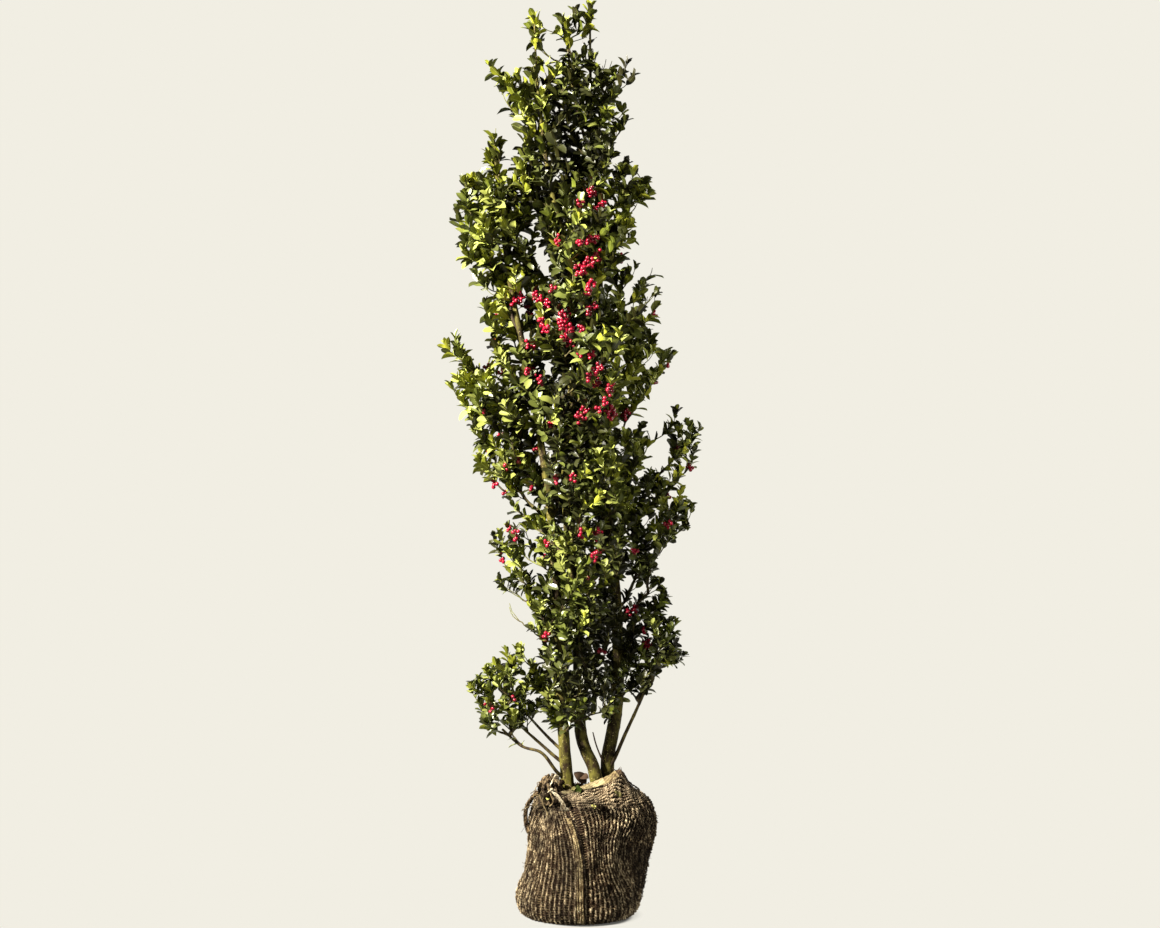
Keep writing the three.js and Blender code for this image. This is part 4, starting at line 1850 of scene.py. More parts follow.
BROWN_LEAF = LeafFinish(
    "dead leaf",
    blade=(0.17, 0.125, 0.062),
    shade=(0.05, 0.032, 0.018),
    midrib=(0.28, 0.21, 0.11),
    underside=(0.045, 0.028, 0.018),
    roughness=0.9,
    specular=0.05,
)
GREEN_LEAF = LeafFinish(
    "fallen leaf",
    blade=(0.012, 0.025, 0.002),
    shade=(0.006, 0.012, 0.001),
    midrib=(0.03, 0.05, 0.006),
    underside=(0.015, 0.024, 0.003),
    roughness=0.7,
    specular=0.06,
)
PALE_LEAF = LeafFinish(
    "pale leaf",
    blade=(0.13, 0.115, 0.045),
    shade=(0.07, 0.06, 0.022),
    midrib=(0.18, 0.16, 0.07),
    underside=(0.09, 0.08, 0.03),
    roughness=0.8,
    specular=0.05,
)
YELLOW_LEAF = LeafFinish(
    "yellow leaf",
    blade=(0.42, 0.40, 0.06),
    shade=(0.26, 0.24, 0.04),
    midrib=(0.5, 0.5, 0.1),
    underside=(0.3, 0.3, 0.08),
    roughness=0.5,
    specular=0.2,
)
FALLEN_LEAVES = tuple(
    FallenLeaf(*row)
    for row in (
        ("dead_leaf", (-19, -44, 343), (0.8, -0.3, -0.30), (-0.1, -0.85, 0.5),
         (0.050, 0.013), 0.27, BROWN_LEAF),
        ("dead_leaf_2", (14, -46, 331), (-0.6, -0.2, 0.6), (0.4, -0.6, 0.5),
         (0.034, 0.010), 0.36, BROWN_LEAF),
        ("fallen_leaf", (-10, -84, 323), (0.10, -0.55, -0.9), (-0.5, -0.8, 0.3),
         (0.030, 0.0075), 0.12, GREEN_LEAF),
        ("pale_leaf", (-14, -86, 316), (-0.9, -0.25, -0.15), (-0.1, -0.8, 0.6),
         (0.016, 0.0045), 0.15, PALE_LEAF),
        ("yellow_leaf", (22, -137, 284), (0.8, -0.3, -0.4), (-0.2, -0.8, 0.5),
         (0.016, 0.004), 0.15, YELLOW_LEAF),
        ("yellow_leaf_2", (-84, -100, 292), (0.6, -0.4, 0.5), (0.0, -0.9, 0.3),
         (0.010, 0.004), 0.1, YELLOW_LEAF),
        ("yellow_leaf_3", (76, -112, 312), (0.8, -0.2, -0.4), (0.1, -0.8, 0.5),
         (0.024, 0.006), 0.15, PALE_LEAF),
    )
)


@dataclass
class LooseBits:
    """What clings to the cloth: crumbs of soil, fibres, frayed ends at the hem's peak and seven leaves."""

    crumbs: int = 150
    knot_crumbs: int = 40
    top_crumbs: int = 50
    fibres: int = 520
    peak: Triple = (90, -46, 347)
    peak_ends: int = 16

    def soil_crumbs(self, shape: BallShape, rng: np.random.Generator) -> None:
        """Strews crumbs over the bunch, the top and the right side of the ball.

        Args:
            shape: the ball.
            rng: source of random numbers.
        """
        angle = np.radians(rng.normal(335, 38, self.crumbs))
        z = rng.uniform(0.03, 0.285, self.crumbs)
        side = shape.ball_point(angle, z) + 0.0028 * level_way(angle)
        offset = rng.normal(0, 1, (self.knot_crumbs, 3)) * np.array([0.016, 0.010, 0.016])
        knot = np.array([-0.072, -0.076, 0.305]) + offset
        ranges = ((-0.03, 0.05), (-0.05, 0.03), (0.306, 0.313))
        top = np.stack([rng.uniform(low, high, self.top_crumbs) for low, high in ranges], -1)
        middles = np.vstack([side, knot, top])
        sizes = rng.uniform(0.0009, 0.0026, len(middles))
        light, dark = (0.05, 0.030, 0.016), (0.010, 0.006, 0.003)
        earth = MottledFinish("soil crumb", light, dark, (160, 700), 0.66, roughness=0.95).make()
        piece = lumps(middles, sizes).place("soil_crumbs", earth)

    def loose_fibres(self, shape: BallShape, rng: np.random.Generator) -> None:
        """Lets short fibres stand off the cloth all round, and a frayed end off the hem's peak, darkened as
        painted shade.

        Args:
            shape: the ball.
            rng: source of random numbers.
        """
        angle = rng.uniform(0, FULL_TURN, self.fibres)
        z = rng.uniform(0.008, 0.29, self.fibres)
        out = level_way(angle)
        way = unit(out + rng.normal(0, 0.7, (self.fibres, 3)))
        bend = rng.normal(0, 0.6, (self.fibres, 3))
        reach = rng.uniform(0.002, 0.0055, (self.fibres, 1, 1))
        hair = hairs(shape.ball_point(angle, z) + 0.002 * out, way, bend, reach, 5)
        hair[..., 2] = np.maximum(hair[..., 2], 0.0006)
        finish = YarnFinish("loose fibre", (0.20, 0.145, 0.07), (0.05, 0.03, 0.014), patch_depth=0.3).make()
        piece = tubes(hair, np.full(hair.shape[:2], 0.0005), 3).place("loose_fibres", finish)
        ends = self.peak_ends
        start = np.array(self.peak) * MM + rng.normal(0, 1, (ends, 3)) * np.array([0.0035, 0.0025, 0.0015])
        way = unit(UP + np.array([-0.25, 0, 0]) + rng.normal(0, 0.30, (ends, 3)))
        bend = rng.normal(0, 0.5, (ends, 3))
        tuft = hairs(start, way, bend, rng.uniform(0.005, 0.013, (ends, 1, 1)), 5)
        # Painted shade: the frayed end at the hem's peak is much darker than the other loose fibres.
        dark = YarnFinish("peak yarn in painted shade", (0.07, 0.045, 0.022), (0.018, 0.011, 0.006)).make()
        radius = np.full(tuft.shape[:2], 0.0010) * np.linspace(1, 0.5, 5)
        piece = tubes(tuft, radius, 5).place("peak_frayed_ends", dark)

    def lay_leaf(self, leaf: FallenLeaf, finish: bpy.types.Material) -> None:
        """Lays one leaf: an ellipse whose halves fold up and whose length curls over.

        Args:
            leaf: the leaf.
            finish: its material.
        """
        v = np.linspace(0, 1, 15)[:, None]
        u = np.linspace(-1, 1, 7)[None]
        ahead = unit(np.array(leaf.way))
        upper = unit(np.array(leaf.up) - ahead * np.dot(np.array(leaf.up), ahead))
        side = np.cross(upper, ahead)
        length, half = leaf.size
        bend = FULL_TURN * leaf.curl
        along = np.sin(v * bend) / bend * length + 0 * u
        lift = np.abs(u) * 0.35 * half - (1 - np.cos(v * bend)) / bend * length
        lift = lift + 0.0016 * np.sin(3 * v * np.pi + u)
        across = u * half * np.sin(np.pi * np.clip(v, 0.02, 1) ** 0.85)
        points = along[..., None] * ahead + across[..., None] * side + lift[..., None] * upper
        surface = Surface.grid(np.array(leaf.foot) * MM + points, False, v[:, 0])
        piece = surface.place(leaf.name, finish)

    def build(self, shape: BallShape, rng: np.random.Generator) -> None:
        """Builds crumbs, fibres and the leaves on the hem, the top and the bunch.

        Args:
            shape: the ball.
            rng: source of random numbers.
        """
        self.soil_crumbs(shape, rng)
        self.loose_fibres(shape, rng)
        for leaf in FALLEN_LEAVES:
            self.lay_leaf(leaf, leaf.finish.make())


# Stems and boughs


@dataclass(frozen=True)
class Limb:
    """One tapering limb: its CAD node, its route in millimetres and its radii."""

    node: str
    route: tuple[Triple, ...]
    foot: float
    tip: float
    standing: bool = False
    flare: float = 0.15
    flare_length: float = 34.0

    def path(self, spacing: float) -> tuple[np.ndarray, np.ndarray]:
        """Evenly spaced points along the limb, and the radius at each.

        The radius falls from foot to tip with the 0.9th power of what is left of the length; a standing
        limb is wider at its foot by a share that dies out as it rises.

        Args:
            spacing: distance between points in metres.

        Returns:
            Positions and radii in metres.
        """
        fine = spline(np.array(self.route) * MM, 40 * len(self.route))
        length = arc_lengths(fine)
        at = np.linspace(0, length[-1], max(int(length[-1] / spacing), 4))
        radius = (self.tip + (self.foot - self.tip) * (1 - at / length[-1]) ** 0.9) * MM
        if self.standing:
            radius = radius * (1 + self.flare * np.exp(-at / (self.flare_length * MM)))
        return between(at, length, fine), radius


STEM_LEFT = (
    (-32, -24, 298), (-35, -25, 320), (-43, -30, 422), (-57, -35, 637), (-64, -45, 840),
    (-88, -40, 1066), (-129, -30, 1304), (-177, -20, 1544), (-201, -20, 1735), (-210, -20, 1856),
)
STEM_MIDDLE = (
    (41, -8, 298), (35, -8, 322), (26, -8, 358), (9, -8, 393), (-2, -5, 430), (-7, 0, 514),
    (-12, -20, 707), (-24, -55, 817), (-38, -34, 1042), (-24, -45, 1304), (-33, -70, 1567),
    (-69, -50, 1714), (-98, -40, 1899), (-110, -35, 2043), (-113, -35, 2132),
)
STEM_RIGHT = (
    (61, 22, 298), (61, 22, 330), (63, 21, 375), (73, 22, 428), (81, 24, 475), (87, 28, 559),
    (82, 35, 751), (58, 35, 993), (39, 30, 1235), (43, 25, 1476), (36, 20, 1716), (22, 20, 1933),
    (19, 20, 2168),
)
TOP_FORK = ((31, 20, 1790), (-5, 5, 1906), (-31, -10, 2048), (-37, -10, 2136))
LEFT_LOW = ((-38, -27, 326), (-60, -44, 348), (-97, -60, 396), (-142, -55, 410), (-190, -48, 450))
LEFT_MID = ((-42, -28, 366), (-57, -29, 376), (-100, -32, 414), (-165, -35, 472))
LEFT_HIGH = ((-44, -26, 394), (-57, -20, 404), (-93, -10, 438), (-150, 0, 500))
RIGHT_LOW = ((62, 16, 342), (77, 8, 370), (103, 0, 430), (148, -10, 532), (164, -10, 576))
SNAG = ((60, 16, 350), (45, 3, 378), (34, 0, 406), (26, -5, 437))


@dataclass
class Limbs:
    """The three stems and the main boughs, with bark relief."""

    stems: tuple[Limb, ...] = (
        Limb("stem_left", STEM_LEFT, 14.8, 2.2, True),
        Limb("stem_middle", STEM_MIDDLE, 15, 2, True),
        Limb("stem_right", STEM_RIGHT, 16.5, 2, True),
    )
    boughs: tuple[Limb, ...] = (
        Limb("bough_top_fork", TOP_FORK, 4.5, 1.8),
        Limb("bough_left_low", LEFT_LOW, 4.6, 2.6),
        Limb("bough_left_mid", LEFT_MID, 4.4, 2.6),
        Limb("bough_left_high", LEFT_HIGH, 4, 2.4),
        Limb("bough_right_low", RIGHT_LOW, 5, 3),
    )
    snag: Limb = Limb("snag", SNAG, 2.6, 1.4)

    def relief(self, limb: Limb, sides: int, spacing: float, depth: float) -> Surface:
        """A limb's tube with bark relief.

        Each ring's radius is the limb's, plus shallow lengthwise ridges, plus noise in long patches, plus
        low rings at uneven steps, where leaves once stood.

        Args:
            limb: the limb.
            sides: corners of a ring.
            spacing: distance of rings in metres.
            depth: height of the relief in metres.

        Returns:
            The surface of the limb.
        """
        path, radius = limb.path(spacing)
        surface = tubes(path[None], radius[None], sides)
        grid = surface.points.reshape(len(path) + 2, sides, 3)
        centre = np.concatenate([path[:1], path, path[-1:]])[:, None]
        away = grid - centre
        size = np.linalg.norm(away, axis=-1, keepdims=True)
        length = arc_lengths(centre[:, 0])[:, None]
        squeezed = grid * np.array([1.0, 1.0, 0.25])
        ridge = 0.35 * np.sin(5 * circle(sides)[None] + 9 * length + ripple(grid, 0.12, 1.0))
        patch = 0.6 * ripple(squeezed, 0.021, 2.0) + 0.35 * ripple(squeezed, 0.009, 5.0)
        scars = 0.8 * bell(((length * 22 + 0.8 * np.sin(length * 31)) % 1 - 0.5) / 0.09)
        swell = np.minimum(depth, 0.12 * size[..., 0]) * (ridge + patch + scars)
        grid += away / np.maximum(size, 1e-9) * swell[..., None] * (size > 1e-4)
        surface.points = grid.reshape(-1, 3)
        return surface

    def build(self) -> None:
        """Builds the stems, the boughs and the dead snag."""
        stem_bark = BarkFinish("stem bark", (0.112, 0.101, 0.019), (0.020, 0.012, 0.005)).make()
        light, dark = (0.095, 0.075, 0.020), (0.022, 0.013, 0.006)
        finish = MottledFinish("bough bark", light, dark, (70, 300), 0.66, (1, 1, 0.5), 0.7, 0.0008)
        bough_bark = finish.make()
        light, dark = (0.16, 0.11, 0.07), (0.05, 0.03, 0.02)
        dead = MottledFinish("dead wood", light, dark, (60, 400), relief=0.0008).make()
        for limb in self.stems:
            piece = self.relief(limb, 22, 0.006, 0.0009).place(limb.node + "_bark", stem_bark)
            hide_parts(limb.node)
        for limb in self.boughs:
            piece = self.relief(limb, 12, 0.006, 0.0005).place(limb.node + "_bark", bough_bark)
            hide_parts(limb.node)
        piece = self.relief(self.snag, 9, 0.005, 0.0005).place("snag_bark", dead)
        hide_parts("snag")


# Growth


@dataclass
class Shoot:
    """One grown twig: its points from its foot to its tip, where it leaves its parent, and its mass.

    The parent is the number of a shoot and the joint that of its point. A tuft is a short leafy shoot
    that fills a place.
    """

    points: np.ndarray
    parent: int
    joint: int
    mass: int
    tuft: bool = False


@dataclass
class Mass:
    """A mass of leaves of the frame, as the shape that shoots grow into."""

    node: str
    slot: str
    triangles: np.ndarray
    right_inset: float = 0.020

    @property
    def narrow(self) -> bool:
        """Whether the mass is a single upright shoot or a leader."""
        return "shoot" in self.node or self.node.startswith("leader")

    @property
    def volume(self) -> float:
        """Volume of the closed shape, by the sum of its triangles' signed cones."""
        a, b, c = np.moveaxis(self.triangles, 1, 0)
        return float(abs(np.sum(a * np.cross(b, c))) / 6)

    @property
    def areas(self) -> np.ndarray:
        """Twice the area of each triangle."""
        a, b, c = np.moveaxis(self.triangles, 1, 0)
        return np.linalg.norm(np.cross(b - a, c - a), axis=1)

    @property
    def middle(self) -> np.ndarray:
        """Middle of the shape's surface, weighted by area."""
        area = self.areas
        return np.sum(self.triangles.sum(1) / 3 * area[:, None], 0) / np.sum(area)

    def scatter(self, rng: np.random.Generator, count: int, inset: float, hollow: float) -> np.ndarray:
        """Random points in the shape, more of them near its surface.

        A point is drawn on the surface, by area, and moved towards the middle by a share, so that the
        share left is a random number raised to the power hollow; it is then moved in by the inset.

        Args:
            rng: source of random numbers.
            count: how many points.
            inset: distance kept from the surface in metres.
            hollow: power of the random share: lower is emptier inside.

        Returns:
            Points of shape (count, 3).
        """
        area = self.areas
        pick = rng.choice(len(area), count, p=area / area.sum())
        a, b, c = np.moveaxis(self.triangles[pick], 1, 0)
        r1, r2 = np.sqrt(rng.random((count, 1))), rng.random((count, 1))
        reach = (1 - r1) * a + r1 * (1 - r2) * b + r1 * r2 * c - self.middle
        size = np.linalg.norm(reach, axis=1, keepdims=True)
        share = rng.random((count, 1)) ** hollow
        kept_in = inset + self.right_inset * np.clip(reach[:, :1] / size, 0, 1)
        return self.middle + reach * np.maximum(share * (1 - kept_in / size), 0.05)

    def end(self) -> np.ndarray:
        """Where a narrow shoot ends: the highest point of the shape, a little way down.

        Returns:
            The place.
        """
        corners = self.triangles.reshape(-1, 3)
        top = corners[np.argmax(corners[:, 2])]
        return top + unit(self.middle - top) * 0.014


@dataclass(frozen=True)
class Patch:
    """A part of the crown by its middle and half sizes in millimetres, and a count of shoots in it."""

    x: float
    y: float
    z: float
    half_x: float
    half_y: float
    half_z: float
    shoots: int = 0

    @property
    def middle(self) -> np.ndarray:
        """Its middle in metres."""
        return np.array([self.x, self.y, self.z]) * MM

    @property
    def half(self) -> np.ndarray:
        """Its half sizes in metres."""
        return np.array([self.half_x, self.half_y, self.half_z]) * MM

    def holds(self, points: np.ndarray) -> np.ndarray:
        """Whether points lie in the patch's ellipsoid.

        Args:
            points: positions in metres.

        Returns:
            True or False for each.
        """
        return np.sum(((points - self.middle) / self.half) ** 2, axis=1) < 1

    def nearness(self, point: np.ndarray) -> float:
        """Share from 1 in the patch's middle down to 0 far off, as a bell curve of the distance.

        Args:
            point: a position in metres.

        Returns:
            The share.
        """
        return float(np.exp(-np.sum(((point - self.middle) / self.half) ** 2)))


# Places that tufts fill: middle, half sizes and how many tufts.
FILLS = tuple(
    Patch(*row)
    for row in (
        (-172, -20, 828, 8, 24, 8, 1), (116, 0, 1618, 8, 30, 8, 1), (-112, -20, 1620, 8, 30, 8, 1),
        (278, 0, 1162, 6, 16, 8, 1), (160, 0, 1118, 8, 30, 8, 1), (128, 0, 1236, 10, 40, 12, 2),
        (230, 0, 703, 8, 20, 12, 1), (-150, -20, 628, 14, 30, 16, 3), (-155, -10, 2008, 10, 20, 10, 1),
        (160, 0, 1737, 12, 30, 10, 2), (-276, -20, 1581, 10, 24, 12, 2), (-250, -20, 1530, 8, 20, 8, 1),
        (126, 0, 1552, 6, 24, 8, 1), (-300, -20, 1380, 6, 16, 6, 1), (-250, -20, 1156, 10, 30, 10, 2),
        (-108, -20, 1362, 10, 50, 10, 2), (264, 0, 1116, 8, 20, 8, 1), (132, 0, 900, 8, 30, 8, 2),
        (192, 0, 800, 8, 20, 8, 1), (-168, -20, 744, 10, 20, 8, 2), (38, 0, 601, 12, 50, 10, 3),
        (-204, -20, 488, 8, 20, 6, 1), (-214, -20, 527, 10, 20, 10, 2),
        (-108, -20, 1300, 12, 50, 12, 3), (220, 0, 1208, 8, 20, 8, 1), (-192, -20, 800, 12, 24, 14, 2),
        (162, 0, 856, 14, 30, 18, 5), (-262, -20, 550, 12, 20, 12, 3), (-117, -20, 498, 14, 24, 14, 5),
        (-124, 0, 2127, 8, 14, 14, 2), (-14, 0, 2158, 10, 14, 16, 3), (23, 0, 2056, 10, 20, 12, 2),
        (-222, -10, 1818, 10, 24, 16, 3), (-165, -20, 1754, 14, 40, 12, 3),
        (-283, -20, 1750, 12, 24, 10, 2), (-88, -20, 1644, 14, 50, 22, 6),
        (-125, -20, 1556, 14, 50, 18, 4), (112, 0, 1670, 10, 40, 20, 3), (75, 0, 1824, 12, 40, 16, 3),
        (167, 0, 1483, 16, 40, 10, 4), (-229, -20, 1584, 18, 30, 14, 3),
        (-269, -20, 1284, 14, 30, 20, 4), (-262, -20, 1206, 20, 30, 10, 3),
        (-108, -20, 946, 20, 50, 20, 5), (-108, -20, 1070, 14, 50, 14, 4),
        (182, 0, 1046, 14, 30, 12, 4), (139, 0, 993, 14, 40, 14, 4), (119, 0, 950, 14, 40, 14, 4),
        (256, 0, 974, 14, 24, 14, 4), (192, 0, 764, 14, 24, 22, 6), (187, 0, 715, 14, 24, 18, 4),
        (59, 0, 770, 14, 50, 14, 3), (-112, -20, 584, 20, 30, 16, 6), (-230, -20, 576, 14, 24, 12, 3),
        (163, 0, 645, 14, 30, 14, 4), (122, 0, 596, 20, 40, 22, 6), (228, 0, 622, 18, 24, 16, 5),
        (-77, -20, 492, 12, 30, 18, 5), (48, 0, 504, 12, 40, 12, 3), (66, 10, 2022, 20, 40, 34, 6),
        (-178, -10, 1992, 20, 30, 18, 5), (-140, -20, 1925, 16, 50, 36, 5),
        (58, 0, 1930, 16, 50, 34, 5), (-122, -20, 1690, 30, 60, 46, 8),
        (-262, -20, 1762, 20, 30, 18, 2), (-138, -20, 1742, 14, 40, 14, 4),
        (-134, -20, 1590, 18, 60, 22, 4), (106, 0, 1402, 16, 60, 22, 4), (108, 0, 1216, 14, 50, 16, 3),
        (155, 0, 1044, 16, 50, 18, 3), (-112, -20, 1030, 16, 50, 20, 3), (110, -10, 955, 18, 60, 22, 2),
        (128, 0, 868, 16, 50, 26, 4), (-138, -20, 806, 14, 50, 14, 3), (-106, -20, 762, 14, 50, 18, 3),
        (116, 0, 660, 14, 50, 22, 3), (206, 0, 690, 12, 50, 24, 2), (-164, -30, 615, 12, 40, 34, 4),
        (-88, -30, 612, 16, 50, 18, 4), (-100, -30, 560, 18, 60, 30, 3), (115, -10, 548, 12, 40, 14, 2),
    )
)
# Spots of painted light and shade at the crown's front, brighter or darker: x, z, their half sizes and the
# change of level.
PAINTED_LIGHT_SPOTS = tuple(
    (Patch(x, -60, z, half_x, 200, half_z), change)
    for x, z, half_x, half_z, change in (
        (-20, 1850, 75, 100, -2.00), (50, 655, 100, 120, -1.70), (20, 860, 120, 90, -0.40),
        (-30, 1600, 90, 70, -0.35), (-230, 1650, 90, 120, 0.60), (-240, 1380, 80, 120, 0.35),
        (-150, 1960, 90, 120, 0.30), (95, 1900, 70, 90, 0.75), (50, 2060, 80, 80, 0.20),
        (170, 1620, 80, 140, 1.15), (165, 1300, 100, 150, 1.60), (210, 1060, 110, 140, 1.60),
        (190, 650, 55, 90, 0.55), (-65, 2056, 45, 40, -0.60), (108, 2040, 40, 40, -1.80),
        (-78, 1790, 45, 45, -2.00), (-74, 1475, 50, 75, -1.90), (-10, 1255, 60, 80, -2.00),
        (-60, 1100, 50, 95, -2.20), (93, 1742, 50, 50, 1.00), (-305, 1655, 40, 70, 0.90),
        (80, 1545, 50, 80, 0.50), (-225, 1460, 50, 90, 0.80), (125, 1350, 40, 90, 0.90),
        (177, 1257, 40, 40, 1.00), (112, 1180, 40, 40, 0.70), (-232, 1130, 45, 45, 0.90),
        (-150, 1070, 45, 80, 0.80), (85, 985, 50, 60, 0.70), (0, 810, 50, 55, 1.30),
        (-115, 559, 40, 40, 0.80), (-163, 441, 40, 40, 0.70), (5, 1380, 40, 40, -1.00),
        (-132, 1282, 40, 40, -0.90), (-177, 918, 40, 40, -0.80),
    )
)
ALL_DEPTHS = 400
EYE_DISTANCE = 5.0
EYE_HEIGHT = 1.08
# Gaps as the photograph shows them, in the plane y = 0: x, z and half sizes; the last ones lie in front.
GAPS = tuple(
    Patch(x, 0, z, half_x, ALL_DEPTHS, half_z)
    for x, z, half_x, half_z in (
        (206, 1484, 12, 14), (208, 1420, 12, 12), (196, 1180, 14, 12), (170, 1262, 10, 14),
        (-190, 1018, 12, 12), (-218, 610, 9, 8), (-12, 2108, 9, 12), (47, 2038, 10, 10),
        (-145, 1842, 8, 8), (-296, 1735, 12, 12), (-236, 1490, 14, 14), (-256, 1330, 10, 14),
        (128, 1462, 10, 14), (196, 1142, 16, 10), (95, 1098, 12, 12), (260, 1062, 20, 12),
        (290, 976, 10, 12), (-108, 920, 12, 16), (19, 952, 10, 10), (180, 842, 10, 10),
        (-170, 776, 12, 8), (35, 458, 10, 14), (-126, 464, 12, 12), (139, 528, 10, 10),
        (-150, 2130, 10, 14), (-92, 2062, 12, 14), (-88, 2018, 10, 18), (-50, 2080, 14, 10),
        (-4, 2092, 14, 10), (36, 2078, 10, 10), (-78, 2126, 10, 10), (-56, 2168, 10, 10),
        (-244, 1852, 12, 24), (-298, 1782, 14, 12), (-181, 1796, 12, 12), (92, 1856, 14, 14),
        (146, 1648, 8, 12), (-84, 1536, 14, 14), (171, 1566, 12, 14), (187, 1476, 12, 16),
        (120, 1514, 18, 10), (108, 1454, 14, 10), (156, 1322, 18, 16), (186, 1284, 12, 16),
        (91, 1169, 12, 12), (-280, 1178, 12, 12), (-146, 1000, 16, 14), (150, 938, 16, 14),
        (216, 881, 12, 12), (152, 781, 18, 16), (-161, 700, 18, 16), (-128, 630, 14, 12),
        (-70, 2081, 16, 16), (-132, 2066, 14, 14), (-12, 2073, 14, 12), (74, 2054, 22, 18),
        (35, 2125, 12, 34), (-192, 1954, 18, 18), (-185, 2030, 12, 14), (-257, 1790, 18, 18),
        (160, 1784, 16, 14), (198, 1760, 12, 20), (156, 1697, 14, 16), (110, 1762, 14, 14),
        (94, 1592, 14, 12), (130, 1540, 16, 14), (110, 1505, 16, 12), (215, 1558, 14, 14),
        (187, 1514, 18, 14), (163, 1445, 18, 12), (182, 1400, 14, 12), (252, 1342, 12, 14),
        (195, 1262, 20, 30), (178, 1188, 22, 16), (132, 1184, 12, 10), (260, 1208, 12, 12),
        (294, 1158, 10, 14), (91, 1121, 12, 12), (182, 1082, 24, 16), (-318, 1402, 14, 10),
        (-325, 1318, 16, 18), (-238, 1337, 18, 20), (-193, 1294, 12, 14), (-81, 1301, 12, 14),
        (-298, 1590, 12, 14), (-276, 1546, 12, 12), (-250, 1480, 16, 14), (-241, 1440, 14, 12),
        (-141, 1486, 14, 18), (-161, 1438, 16, 24), (-161, 1370, 14, 14), (-84, 1560, 14, 24),
        (-277, 1154, 14, 14), (-209, 1032, 18, 14), (-184, 984, 14, 12), (-132, 856, 14, 12),
        (-93, 828, 16, 14), (-224, 800, 10, 12), (-196, 760, 12, 8), (-286, 566, 8, 12),
        (-265, 516, 16, 16), (-250, 470, 12, 12), (-232, 438, 12, 9), (-181, 408, 16, 12),
        (-156, 420, 14, 12), (-109, 379, 20, 14), (250, 1044, 14, 12), (200, 872, 12, 14),
        (123, 785, 16, 16), (250, 704, 14, 16), (187, 552, 24, 18), (228, 548, 14, 8),
        (270, 596, 10, 12), (106, 450, 14, 14), (43, 2160, 10, 40), (-14, 2098, 14, 36),
        (-88, 2120, 9, 22), (-132, 2088, 11, 18), (-86, 2022, 10, 20), (-212, 1966, 14, 18),
        (108, 1974, 16, 28), (-212, 1892, 18, 22), (108, 1868, 18, 26), (72, 1806, 10, 16),
        (143, 1810, 12, 26), (-298, 1736, 14, 16), (128, 1692, 18, 20), (-308, 1632, 14, 14),
        (-100, 1578, 17, 30), (152, 1542, 16, 20), (-216, 1494, 14, 16), (110, 1482, 14, 30),
        (160, 1478, 14, 30), (-155, 1450, 16, 34), (-138, 1390, 14, 18), (-238, 1374, 18, 40),
        (196, 1372, 18, 18), (216, 1304, 22, 22), (172, 1326, 14, 16), (-80, 1315, 14, 16),
        (-312, 1236, 18, 24), (160, 1228, 16, 26), (246, 1198, 16, 14), (104, 1172, 16, 12),
        (-268, 1110, 20, 16), (180, 1110, 24, 18), (252, 1040, 14, 18), (-206, 1028, 18, 12),
        (-132, 996, 14, 14), (262, 950, 14, 18), (-204, 940, 14, 12), (-126, 908, 14, 16),
        (240, 898, 26, 24), (210, 852, 16, 22), (-192, 848, 18, 14), (-114, 838, 16, 14),
        (108, 800, 14, 16), (162, 776, 26, 14), (208, 788, 14, 14), (-160, 742, 34, 30),
        (204, 722, 12, 12), (-200, 660, 16, 30), (-112, 660, 12, 16), (-134, 596, 11, 30),
        (-238, 628, 42, 20), (204, 576, 20, 22), (-204, 522, 12, 14), (110, 526, 14, 12),
        (46, 506, 20, 14), (34, 466, 20, 28), (-180, 442, 28, 14), (-84, 440, 20, 14),
    )
) + (
    Patch(-22, -170, 1850, 36, 150, 66),
    Patch(-24, -170, 822, 10, 130, 34),
    Patch(-54, -190, 1670, 12, 120, 66),
    Patch(-66, -170, 842, 10, 120, 16),
)


def in_gap(points: np.ndarray) -> np.ndarray:
    """Whether points lie in a gap of the crown, where the sky shows through.

    The gaps are sought along the camera's lines of sight: a point is first moved along its line to the
    plane y = 0, which divides its distance from the camera's axis by its share of the camera's distance.

    Args:
        points: positions in metres.

    Returns:
        True or False for each.
    """
    share = 1 + points[:, 1:2] / EYE_DISTANCE
    axis = np.array([0.0, 0.0, EYE_HEIGHT])
    flat = axis + (points - axis) / share
    flat[:, 1] = points[:, 1]
    return np.any([gap.holds(flat) for gap in GAPS], axis=0)


